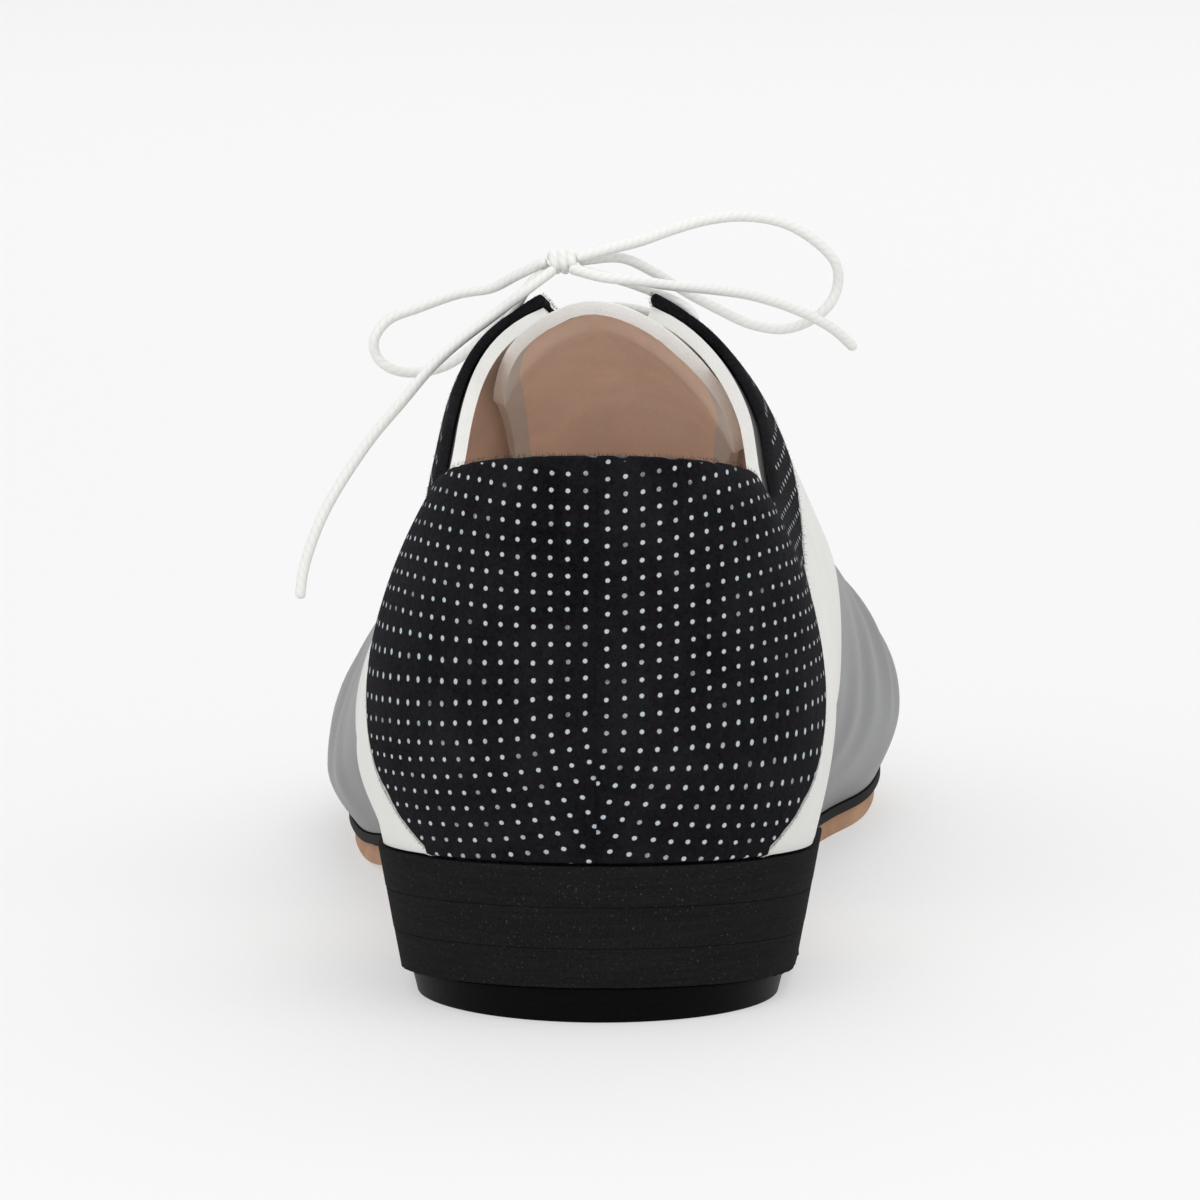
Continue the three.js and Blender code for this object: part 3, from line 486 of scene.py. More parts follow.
def surface(name, columns, rows, place, materials=(), number=None):
    """A grid whose corners lie where place(u, v) puts them. place gives points and their flat places in metres.
    number(u, v) tells which of the materials a face takes."""
    bpy.ops.object.select_all(action="DESELECT")
    bpy.ops.mesh.primitive_grid_add(x_subdivisions=columns, y_subdivisions=rows, size=2, calc_uvs=True)
    piece = bpy.context.object
    piece.name = piece.data.name = name
    mesh = piece.data
    corners = np.empty(len(mesh.vertices) * 3)
    mesh.vertices.foreach_get("co", corners)
    corners = corners.reshape(-1, 3)
    u = np.round((corners[:, 0] + 1) / 2 * columns) / columns
    v = np.round((corners[:, 1] + 1) / 2 * rows) / rows
    points, flat = place(u, v)
    for material in materials:
        mesh.materials.append(finishes()[material])
    if number:
        faces = np.array([list(face.vertices) for face in mesh.polygons])
        mesh.polygons.foreach_set("material_index", number(u[faces].mean(axis=1), v[faces].mean(axis=1)))
    mesh.vertices.foreach_set("co", points.ravel())
    loops = np.empty(len(mesh.loops), int)
    mesh.loops.foreach_get("vertex_index", loops)
    mesh.uv_layers[0].data.foreach_set("uv", np.asarray(flat, float)[loops].ravel())
    mesh.update()
    return piece


def joined(pieces, name):
    bpy.ops.object.select_all(action="DESELECT")
    for piece in pieces:
        piece.select_set(True)
    bpy.context.view_layer.objects.active = pieces[0]
    if len(pieces) > 1:
        bpy.ops.object.join()
    pieces[0].name = pieces[0].data.name = name
    return pieces[0]


def welded(piece, distance=2e-6):
    edit(piece, (bpy.ops.mesh.remove_doubles, {"threshold": distance}),
         (bpy.ops.mesh.normals_make_consistent, {"inside": False}))


def smooth(piece, angle=40):
    pick(piece)
    bpy.ops.object.shade_smooth_by_angle(angle=math.radians(angle), keep_sharp_edges=False)


def finished(piece, node, slot):
    """Gives a piece its place in the frame"""
    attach(piece, "root")
    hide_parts(node)
    return piece


def faces_outward(last, piece):
    """Turns an open sheet's faces away from the last's middle line"""
    mesh = piece.data
    centres, normals = np.empty(len(mesh.polygons) * 3), np.empty(len(mesh.polygons) * 3)
    mesh.polygons.foreach_get("center", centres)
    mesh.polygons.foreach_get("normal", normals)
    centres, normals = centres.reshape(-1, 3), normals.reshape(-1, 3)
    core_height = 0.03
    out = centres - np.array([last.shift[0], 0.0, core_height])
    out[:, 1] = 0
    if (out * normals).sum(axis=1).mean() < 0:
        edit(piece, (bpy.ops.mesh.flip_normals, {}))


def smooth_path(points, per_stretch):
    """Points along a smooth line through the given ones, spread as the spline of the CAD's cords is"""
    points = np.asarray(points, float)
    ends = [2 * points[0] - points[1]], [2 * points[-1] - points[-2]]
    padded = np.concatenate([ends[0], points, ends[1]])
    path = []
    for i in range(1, len(padded) - 2):
        p0, p1, p2, p3 = padded[i - 1:i + 3]
        t1 = np.linalg.norm(p1 - p0)**0.5
        t2 = t1 + np.linalg.norm(p2 - p1)**0.5
        t3 = t2 + np.linalg.norm(p3 - p2)**0.5
        for t in np.linspace(t1, t2, per_stretch, endpoint=False):
            a1 = (t1 - t) / t1 * p0 + t / t1 * p1
            a2 = (t2 - t) / (t2 - t1) * p1 + (t - t1) / (t2 - t1) * p2
            a3 = (t3 - t) / (t3 - t2) * p2 + (t - t2) / (t3 - t2) * p3
            b1 = (t2 - t) / t2 * a1 + t / t2 * a2
            b2 = (t3 - t) / (t3 - t1) * a2 + (t - t1) / (t3 - t1) * a3
            path.append((t2 - t) / (t2 - t1) * b1 + (t - t1) / (t2 - t1) * b2)
    path.append(points[-1])
    return np.array(path)


def tube(name, path, radius, sides, material):
    """A round cord along a path, with its ends rounded off"""
    path = np.asarray(path, float)
    steps = np.linalg.norm(np.diff(path, axis=0), axis=1)
    run = np.concatenate(([0], np.cumsum(steps)))
    tangents = unit(np.gradient(path, axis=0))
    across = np.zeros_like(path)
    across[0] = unit(np.cross(tangents[0], [0.3, 0.2, 1.0]))
    for i in range(1, len(path)):
        across[i] = unit(across[i - 1] - tangents[i] * np.dot(across[i - 1], tangents[i]))
    other = np.cross(tangents, across)
    caps = np.array([(0.0, 0.0), (0.08, 0.45), (0.35, 0.85), (0.8, 1.0)]) * radius
    body = run[(run > radius) & (run < run[-1] - radius)]
    stations = np.concatenate([caps[:, 0], body, run[-1] - caps[::-1, 0]])
    radii = np.concatenate([caps[:, 1], np.full(len(body), radius), caps[::-1, 1]])

    def along(values):
        return np.stack([np.interp(stations, run, values[:, k]) for k in range(3)], axis=-1)

    centre, side_way, up_way = along(path), unit(along(across)), unit(along(other))
    columns = len(stations) - 1

    def place(u, v):
        i = np.round(u * columns).astype(int)
        turn = np.where(v >= 1, 0, v) * 2 * math.pi
        ring = side_way[i] * np.cos(turn)[:, None] + up_way[i] * np.sin(turn)[:, None]
        points = centre[i] + ring * radii[i][:, None]
        return points, np.stack([stations[i], v * 2 * math.pi * radius], axis=-1)

    piece = surface(name, columns, sides, place, [material])
    welded(piece, 1e-7)
    smooth(piece, 60)
    return piece


class Flattened:
    """The flat places of a side's leather in metres: out from the back seam, and up along it. The dots' rows slope
    where the leather is stretched over the heel's cup."""

    def __init__(self, last, side, warp=(0, 0, 1, 0, 0)):
        self.ats = (1 - np.cos(np.linspace(0, math.pi, 260))) / 2
        self.climbs = np.linspace(0, 1, 90)
        points = last.shell(self.ats[:, None], SIDES[side] * (1 - self.climbs)[None], last.shell_out)
        rises = np.linalg.norm(np.diff(points, axis=1), axis=-1)
        self.up = np.concatenate([np.zeros((len(self.ats), 1)), np.cumsum(rises, axis=1)], axis=1)
        self.steps = np.linspace(0, self.up.max(), 140)
        columns = np.array([[np.interp(self.steps, self.up[i], points[i, :, k]) for k in range(3)]
                            for i in range(len(self.ats))]).transpose(0, 2, 1)
        moves = np.diff(columns, axis=0)
        ways = np.gradient(columns, axis=1)
        ways = unit(ways[1:] + ways[:-1])
        lift = (moves * ways).sum(axis=-1)
        width = np.sqrt(np.maximum((moves * moves).sum(axis=-1) - lift**2, 0))
        start = np.zeros((1, len(self.steps)))
        out = np.concatenate([start, np.cumsum(width, axis=0)])
        level = np.concatenate([start, np.cumsum(lift, axis=0)]) + self.steps
        high_slope, foot_slope, high, foot, lean = warp
        slope = high_slope + (foot_slope - high_slope) * smooth_step((high - level) / (high - foot))
        heights = np.linspace(-0.03, 0.03, 400)
        leans = lean * smooth_step((0.022 - heights) / 0.013)
        moved = np.cumsum(leans[::-1])[::-1] * (heights[1] - heights[0])
        reach = 0.040
        fade = np.exp(-out / reach)
        self.out = out + np.interp(level, heights, moved) * fade
        self.level = level + slope * reach * (1 - fade)
        self.sign = SIDES[side]

    def read(self, at, climb):
        column = np.interp(at, self.ats, np.arange(len(self.ats)))
        i = np.clip(column.astype(int), 0, len(self.ats) - 2)
        f = column - i
        rise = np.clip(climb, 0, 1) * (len(self.climbs) - 1)
        j = np.clip(rise.astype(int), 0, len(self.climbs) - 2)
        g = rise - j
        flat = []
        for k in (i, i + 1):
            step = (self.up[k, j] * (1 - g) + self.up[k, j + 1] * g) / self.steps[1]
            n = np.clip(step.astype(int), 0, len(self.steps) - 2)
            h = step - n
            flat.append([values[k, n] * (1 - h) + values[k, n + 1] * h for values in (self.out, self.level)])
        out, level = (a * (1 - f) + b * f for a, b in zip(*flat))
        return np.stack([self.sign * out, level], axis=-1)


# Materials

class Number:
    """A number in a material's nodes. Python's operators on it add the nodes that work it out."""

    def __init__(self, finish, socket):
        self.finish, self.socket = finish, socket

    def maths(self, operation, *others):
        return self.finish.maths(operation, self, *others)

    def __add__(self, other):
        return self.maths("ADD", other)

    def __radd__(self, other):
        return self.finish.maths("ADD", other, self)

    def __sub__(self, other):
        return self.maths("SUBTRACT", other)

    def __rsub__(self, other):
        return self.finish.maths("SUBTRACT", other, self)

    def __mul__(self, other):
        return self.maths("MULTIPLY", other)

    def __rmul__(self, other):
        return self.finish.maths("MULTIPLY", other, self)

    def __pow__(self, other):
        return self.maths("POWER", other)

    def kept(self):
        """The number, held between 0 and 1"""
        return self.finish.maths("ADD", self, 0.0, clamp=True)


# The end of the made materials' names, which keeps them apart from the frame's own
FINISH_END = "_finish"


class Finish:
    """A material that is being made"""

    def __init__(self, name, **constants):
        self.material = bpy.data.materials.new(name + FINISH_END)
        self.material.use_nodes = True
        self.tree = self.material.node_tree
        self.tree.nodes.clear()
        self.shader = self.tree.nodes.new("ShaderNodeBsdfPrincipled")
        output = self.tree.nodes.new("ShaderNodeOutputMaterial")
        self.tree.links.new(self.shader.outputs["BSDF"], output.inputs["Surface"])
        self.relief = None
        for socket, value in constants.items():
            self.shader.inputs[socket.replace("_", " ")].default_value = value

    def node(self, kind, settings=None, **values):
        """Adds a node: its settings first, then the values or links of its sockets"""
        node = self.tree.nodes.new("ShaderNode" + kind)
        for name, value in (settings or {}).items():
            setattr(node, name, value)
        for name, value in values.items():
            key = int(name[1:]) if name[0] == "n" and name[1:].isdigit() else name.replace("_", " ")
            self.join(node.inputs[key], value)
        return node

    def join(self, socket, value):
        if isinstance(value, Number):
            value = value.socket
        if isinstance(value, bpy.types.NodeSocket):
            self.tree.links.new(value, socket)
        else:
            socket.default_value = value

    def maths(self, operation, *values, clamp=False):
        values = {f"n{i}": value for i, value in enumerate(values)}
        node = self.node("Math", {"operation": operation, "use_clamp": clamp}, **values)
        return Number(self, node.outputs[0])

    def place(self):
        """Object coordinates, in metres"""
        return self.node("TexCoord").outputs["Object"]

    def flat(self):
        """The piece's own flat coordinates, in metres"""
        return self.node("UVMap", {"uv_map": "UVMap"}).outputs["UV"]

    def scaled(self, vector, scale, turn=0.0):
        mapping = self.node("Mapping", None, Vector=vector, Scale=scale, Rotation=(0, 0, turn))
        return mapping.outputs["Vector"]

    def parts(self, vector):
        outputs = self.node("SeparateXYZ", None, Vector=vector).outputs
        return [Number(self, outputs[i]) for i in range(3)]

    def noise(self, vector, size, detail=2.0, roughness=0.5, distortion=0.0):
        """Noise whose blobs have about that size in metres"""
        node = self.node("TexNoise", None, Vector=vector, Scale=1 / size, Detail=detail, Roughness=roughness,
                         Distortion=distortion)
        return Number(self, node.outputs[0])

    def cells(self, vector, size):
        node = self.node("TexVoronoi", None, Vector=vector, Scale=1 / size)
        return Number(self, node.outputs["Distance"])

    def between(self, value, low, high):
        """0 at low, 1 at high and straight between"""
        return ((value - low) * (1 / (high - low))).kept()

    def mix(self, factor, a, b):
        node = self.node("Mix", {"data_type": "RGBA"})
        self.join(node.inputs[0], factor)
        for socket, shade in ((node.inputs[6], a), (node.inputs[7], b)):
            self.join(socket, (*shade, 1) if isinstance(shade, tuple) and len(shade) == 3 else shade)
        return node.outputs[2]

    def bump(self, height, distance, strength=1.0):
        """Relief of a height in metres, laid over what is there"""
        values = {"Height": height, "Distance": distance, "Strength": strength}
        if self.relief is not None:
            values["Normal"] = self.relief
        self.relief = self.node("Bump", None, **values).outputs["Normal"]

    def give(self, **values):
        for name, value in values.items():
            self.join(self.shader.inputs[name.replace("_", " ")], value)
        if self.relief is not None:
            self.join(self.shader.inputs["Normal"], self.relief)
        return self.material


def shade(colour_value, factor):
    return tuple(min(1.0, channel * factor) for channel in colour_value)


def suede_finish(name, colours, leather, dots, shift=(0.0, 0.0)):
    finish = Finish(name, Sheen_Weight=0.05, Sheen_Roughness=0.4, Sheen_Tint=(0.55, 0.56, 0.6, 1.0),
                    IOR=1.1)
    base = tuple(colours.suede)
    place = finish.place()
    nap = finish.noise(place, 0.00022, 4, 0.7)
    tufts = finish.noise(place, 0.0009, 3, 0.6, 0.4)
    brushed = finish.noise(place, 0.011, 2, 0.5, 0.6)
    body = finish.mix(finish.between(nap * 0.5 + tufts * 0.3 + brushed * 0.3, 0.40, 0.75),
                      shade(base, 0.50), shade(base, 5.0))
    finish.bump(nap * 0.6 + tufts, 0.00035, 0.9)
    roughness = 0.9 + 0.1 * nap
    if dots:
        flat = finish.scaled(finish.flat(), (1 / leather.dot_pitch, 1 / leather.row_pitch, 1))
        along, up, _ = finish.parts(flat)
        along, up = along + shift[0], up + shift[1]
        column, row = along.maths("FLOOR"), up.maths("FLOOR")
        cell = finish.node("CombineXYZ", None, X=column, Y=row).outputs[0]
        chance = finish.node("TexWhiteNoise", {"noise_dimensions": "3D"}, Vector=cell).outputs
        wobble_x, wobble_y, worn = finish.parts(chance["Color"])
        off_x = along.maths("FRACT") - 0.5 + (wobble_x - 0.5) * 0.07
        off_y = up.maths("FRACT") - 0.5 + (wobble_y - 0.5) * 0.07
        far = (off_x * off_x + off_y * off_y).maths("SQRT") + (nap - 0.5) * 0.09
        radius = leather.dot_diameter / leather.dot_pitch / 2
        dot = 1 - finish.between(far, radius * 0.78, radius * 1.12)
        cover = dot * finish.between(worn + (tufts - 0.5) * 0.8, -0.25, 0.35)
        body = finish.mix(cover, body, tuple(colours.dots))
        roughness = roughness - cover * 0.45
        finish.bump(dot, 0.00006, 0.6)
    return finish.give(Base_Color=body, Roughness=roughness)


def raw_edge_finish(name, colours):
    finish = Finish(name)
    place = finish.place()
    fibres = finish.noise(place, 0.00030, 5, 0.75)
    clumps = finish.noise(place, 0.0012, 3, 0.6)
    pale = tuple(colours.raw_edge)
    body = finish.mix(finish.between(fibres * 0.6 + clumps * 0.5, 0.36, 0.66), shade(pale, 0.22), shade(pale, 1.15))
    finish.bump(fibres + clumps, 0.00035, 1.0)
    return finish.give(Base_Color=body, Roughness=0.95)


def leather_finish(name, base, roughness, grain=0.00045, relief=0.00004, coat=0.0, variation=0.12):
    """Smooth leather: a fine cell grain, faint longer creases and a slightly uneven gloss"""
    finish = Finish(name, Coat_Weight=coat, Coat_Roughness=0.32, Specular_IOR_Level=0.42)
    place = finish.place()
    cells = finish.cells(place, grain)
    pores = finish.noise(place, grain * 0.55, 3, 0.6)
    clouds = finish.noise(place, 0.014, 3, 0.55, 0.4)
    creases = finish.noise(place, 0.0035, 4, 0.62, 1.2)
    finish.bump(cells * 0.8 + pores * 0.6, relief)
    finish.bump(creases, relief * 1.6, 0.7)
    body = finish.mix(finish.between(clouds + (pores - 0.5) * 0.25, 0.3, 0.72),
                      shade(base, 1 - variation), shade(base, 1 + variation))
    gloss = roughness + (pores - 0.5) * 0.14 + (clouds - 0.5) * 0.12
    return finish.give(Base_Color=body, Roughness=gloss)


def edge_finish(name, base):
    """The trimmed and stained edge of a thin sole layer"""
    finish = Finish(name, IOR=1.2)
    x, y, z = finish.parts(finish.place())
    stretched = finish.node("CombineXYZ", None, X=x * 0.25, Y=y * 0.25, Z=z).outputs[0]
    lines = finish.noise(stretched, 0.0005, 3, 0.6)
    specks = finish.noise(finish.place(), 0.0004, 3, 0.6)
    finish.bump(lines + specks * 0.6, 0.00006)
    body = finish.mix(finish.between(lines, 0.35, 0.7), shade(base, 0.6), shade(base, 1.7))
    return finish.give(Base_Color=body, Roughness=0.62 + lines * 0.2)


def tan_finish(name, base):
    """Natural sole leather with a brushed face"""
    finish = Finish(name, Specular_IOR_Level=0.35)
    place = finish.place()
    fibres = finish.noise(place, 0.00035, 5, 0.7)
    clouds = finish.noise(place, 0.012, 4, 0.6, 0.5)
    scuffs = finish.noise(finish.scaled(place, (2.2, 0.4, 1.0), 0.2), 0.006, 4, 0.7)
    body = finish.mix(finish.between(clouds + (fibres - 0.5) * 0.5, 0.3, 0.75), shade(base, 0.80), shade(base, 1.22))
    body = finish.mix(finish.between(scuffs, 0.60, 0.78) * 0.35, body, shade(base, 0.55))
    finish.bump(fibres + scuffs * 0.4, 0.00008)
    return finish.give(Base_Color=body, Roughness=0.62 + fibres * 0.2)


def rubber_finish(name, base, grain, relief, roughness, specks):
    """Cut rubber: fine pores, pale specks and faint lines of the cutter round it"""
    finish = Finish(name, IOR=1.13)
    place = finish.place()
    x, y, z = finish.parts(place)
    pores = finish.noise(place, grain, 4, 0.75)
    pits = finish.cells(place, grain * 2.2)
    around = finish.node("CombineXYZ", None, X=x * 0.06, Y=y * 0.06, Z=z).outputs[0]
    cut = finish.noise(around, 0.0007, 3, 0.6)
    body = finish.mix(finish.between(pores + (cut - 0.5) * 0.35, 0.36, 0.72), shade(base, 0.62), shade(base, 1.55))
    if specks:
        dust = finish.noise(place, 0.00035, 1, 0.4)
        body = finish.mix(finish.between(dust, 0.70, 0.76) * 0.5, body, shade(base, 8))
    finish.bump(pores + pits * 0.4 + cut * 0.3, relief)
    return finish.give(Base_Color=body, Roughness=roughness + (pores - 0.5) * 0.15)


def lace_finish(name, base, lace):
    """Waxed cord of twisted strands, from the way along it and round it"""
    finish = Finish(name, Coat_Weight=0.12, Coat_Roughness=0.35)
    along, around, _ = finish.parts(finish.flat())
    turns = along * (1 / lace.twist) + around * (1 / (math.pi * lace.diameter))
    strands = ((turns * 3).maths("FRACT") - 0.5).maths("ABSOLUTE")
    fibres = finish.noise(finish.place(), 0.00025, 4, 0.65)
    finish.bump(1 - (strands * 2)**2, 0.00003, 0.6)
    finish.bump(fibres, 0.00005)
    # The grooves between the strands are painted darker and the strands' crowns lighter: painted shade in the grooves
    body = finish.mix(finish.between(strands + (fibres - 0.5) * 0.5, 0.2, 0.55), shade(base, 1.03), shade(base, 0.95))
    return finish.give(Base_Color=body, Roughness=0.46 + fibres * 0.18)


def made_finishes():
    return {material.name.removesuffix(FINISH_END): material for material in bpy.data.materials
            if material.name.endswith(FINISH_END)}


def finishes():
    """All materials by their names, made once"""
    if "dotted_suede_lateral" + FINISH_END in bpy.data.materials:
        return made_finishes()
    scene = bpy.context.scene
    colours, leather, lace = scene.shoe_colours, scene.shoe_leather, scene.shoe_lace
    suede_finish("dotted_suede_lateral", colours, leather, True, (0.10, 0.2))
    suede_finish("dotted_suede_medial", colours, leather, True, (0.90, 0.55))
    suede_finish("suede_edge", colours, leather, False)
    raw_edge_finish("suede_raw_edge", colours)
    leather_finish("suede_fibre", (0.012, 0.0115, 0.012), 0.9, grain=0.0003, variation=0.9)
    leather_finish("white_leather", tuple(colours.white_leather), 0.50, relief=0.000035, variation=0.03)
    leather_finish("white_lining_edge", tuple(colours.white_leather), 0.62, relief=0.00006, variation=0.06)
    leather_finish("grey_leather", tuple(colours.grey_leather), 0.40, grain=0.0005, relief=0.00003, coat=0.16,
                   variation=0.07)
    leather_finish("lining_leather", tuple(colours.lining), 0.66, grain=0.0007, relief=0.00005, variation=0.08)
    tan_finish("tan_leather", tuple(colours.tan_leather))
    edge_finish("black_edge", tuple(colours.black_edge))
    rubber_finish("heel_rubber", tuple(colours.heel_rubber), 0.00028, 0.00012, 0.86, True)
    rubber_finish("lift_rubber", tuple(colours.lift_rubber), 0.0004, 0.00003, 0.42, False)
    lace_finish("lace_cord", tuple(colours.lace), lace)
    return made_finishes()


# Pieces of the upper

UPPER_FINISHES = ("grey_leather", "lining_leather", "white_lining_edge")


def creased(last, side, points):
    """How far soft creases lift points of the vamp"""
    lift = np.zeros(len(points))
    for crease_side, way, width, depth in CREASES:
        if crease_side != side:
            continue
        way = smooth_path(way, 16)
        line = last.point(way[:, 0], SIDES[side] * (1 - way[:, 1]))
        away = np.linalg.norm(points[:, None] - line[None], axis=-1)
        nearest = away.argmin(axis=1)
        strength = np.sin(math.pi * (nearest + 1) / (len(line) + 1))
        near = away.min(axis=1) / width
        lift -= depth * strength * (np.exp(-near**2) - 0.35 * np.exp(-(near - 1.7)**2))
    return lift


def upper_sheet(last, side):
    """One side of the upper's outer face, from the sole seam to the free edge or the ridge"""
    columns, rows = 250, 46
    ats = (1 - np.cos(np.linspace(0, math.pi, columns + 1))) / 2
    top = last.top_climb(side, ats, 0.0)
    flattened = Flattened(last, side)

    def place(u, v):
        i = np.round(u * columns).astype(int)
        climb = top[i] * v
        around = SIDES[side] * (1 - climb)
        lift = creased(last, side, last.point(ats[i], around)) * smooth_step(climb / 0.1)
        return last.shell(ats[i], around, lift), flattened.read(ats[i], climb)

    return surface(f"upper_{side}", columns, rows, place, UPPER_FINISHES)


def drill_holes(last, piece, sides):
    """Punches the lace holes through a piece"""
    cutters = []
    for side in sides:
        for pair in range(LACE_PAIRS):
            at, distance = last.hole(pair)
            climb = last.climb_at_distance(side, np.array([at]), distance)
            around = SIDES[side] * (1 - climb)
            centre = Vector(last.point(np.array([at]), around)[0])
            out = Vector(last.normal(np.array([at]), around)[0])
            bpy.ops.object.select_all(action="DESELECT")
            bpy.ops.mesh.primitive_cylinder_add(vertices=24, radius=last.leather.hole_diameter / 2, depth=0.014,
                                                location=centre, rotation=out.to_track_quat("Z", "Y").to_euler())
            cutters.append(bpy.context.object)
    cutter = joined(cutters, "hole_cutter")
    pick(piece)
    bpy.ops.object.modifier_add(type="BOOLEAN")
    modifier = piece.modifiers[-1]
    modifier.operation, modifier.solver, modifier.object = "DIFFERENCE", "EXACT", cutter
    bpy.ops.object.modifier_apply(modifier=modifier.name)
    bpy.data.objects.remove(cutter)


def make_upper(last):
    sheet = joined([upper_sheet(last, side) for side in SIDES], "upper_shell")
    welded(sheet, 4e-6)
    faces_outward(last, sheet)
    modify(sheet, "SOLIDIFY", thickness=last.leather.wall, offset=-1.0, use_even_offset=True, material_offset=1,
           material_offset_rim=2, use_quality_normals=True)
    drill_holes(last, sheet, SIDES)
    smooth(sheet, 50)
    return finished(sheet, "upper", "grey_leather")


def panel(last, name, side, ats, bottom, top, thickness, raw_edge, rag, seed, flattened, materials, seam=0.0):
    """A leather panel over the upper. Each column is a closed loop: the slanted cut edge at its foot, its face, the
    rounded free edge at its top, and its back."""
    face_rows, edge_rows, strip_rows, top_rows, back_rows = 42, 4, 4, 5, 10
    inner, outer = last.sole.gap, last.sole.gap + thickness
    rng = np.random.default_rng(seed)

    def ragged_line():
        return np.convolve(rng.normal(0, 1, len(ats) + 6), [1, 2, 3, 3, 2, 1, 1], "same")[3:-3] * rag / 5

    cut = bottom > 1e-3
    ragged, ragged_top = ragged_line() * cut, ragged_line()
    girth = np.maximum(np.linalg.norm(last.shell(ats, SIDES[side] * 0.5, outer)
                                      - last.shell(ats, SIDES[side] * 0.45, outer), axis=-1) / 0.05, 1e-3)
    room = np.clip(top - bottom, 0, None)
    steepness = np.abs(np.gradient(bottom) * girth / np.gradient(ats * last.length))
    stretch = np.sqrt(1 + np.minimum(steepness, 4)**2) / girth
    slant = np.minimum(thickness * 0.4 * stretch, room * 0.2)
    strip = np.minimum(np.where(cut, raw_edge, 0.0) * stretch + ragged / girth, room * 0.3)
    strip = np.maximum(strip, 0) * (0.3 + 0.7 * smooth_step(bottom / 0.10))
    lip = np.minimum(thickness * 0.45 / girth, room * 0.2)
    top = top + np.minimum(ragged_top / girth, 0)
    profile = []
    for k in range(edge_rows + 1):
        t = k / edge_rows
        profile.append((bottom + slant * t, inner + (outer - inner) * 0.88 * math.sin(t * math.pi / 2)**0.8))
    for k in range(1, strip_rows + 1):
        t = k / strip_rows
        profile.append((bottom + slant + strip * t, outer - (outer - inner) * 0.12 * (1 - t)**2))
    start = bottom + slant + strip
    for k in range(1, face_rows + 1):
        profile.append((start + (top - lip - start) * k / face_rows, outer))
    for k in range(1, top_rows + 1):
        turn = k / top_rows * math.pi
        profile.append((top - lip + lip * math.sin(turn), (outer + inner) / 2 + (outer - inner) / 2 * math.cos(turn)))
    for k in range(1, back_rows + 1):
        profile.append((top - lip + (bottom - top + lip) * k / back_rows, inner))
    climbs = np.array([climb for climb, _ in profile])
    offsets = np.array([np.full(len(ats), offset) for _, offset in profile])
    from_seam = np.abs(last.point(ats, SIDES[side] * 0.5)[:, 0] - last.shift[0])
    groove_half = 0.0006
    dip = seam * np.exp(-(from_seam / groove_half)**2)
    offsets = offsets - dip * (offsets - inner) / (outer - inner)
    rows, columns = len(profile) - 1, len(ats) - 1

    def place(u, v):
        i, j = np.round(u * columns).astype(int), np.round(v * rows).astype(int)
        climb = np.clip(climbs[j, i], 0, 1)
        around = SIDES[side] * (1 - climb)
        points = last.shell(ats[i], around, offsets[j, i])
        return points, flattened.read(ats[i], climb)

    edge_end = (edge_rows + strip_rows) / rows
    face_end = (edge_rows + strip_rows + face_rows) / rows

    def number(u, v):
        bare = cut[np.minimum((u * columns).astype(int), columns)]
        return np.where(v < edge_end, np.where(bare, 1, 0), np.where(v < face_end, 0, 2))

    piece = surface(name, columns, rows, place, materials, number)
    edit(piece, (bpy.ops.mesh.remove_doubles, {"threshold": 3e-6}),
         (bpy.ops.mesh.select_all, {"action": "DESELECT"}),
         (bpy.ops.mesh.select_non_manifold, {"use_wire": False, "use_multi_face": False,
                                             "use_non_contiguous": False, "use_verts": False}),
         (bpy.ops.mesh.fill, {"use_beauty": False}),
         (bpy.ops.mesh.select_all, {"action": "SELECT"}),
         (bpy.ops.mesh.normals_make_consistent, {"inside": False}))
    return piece


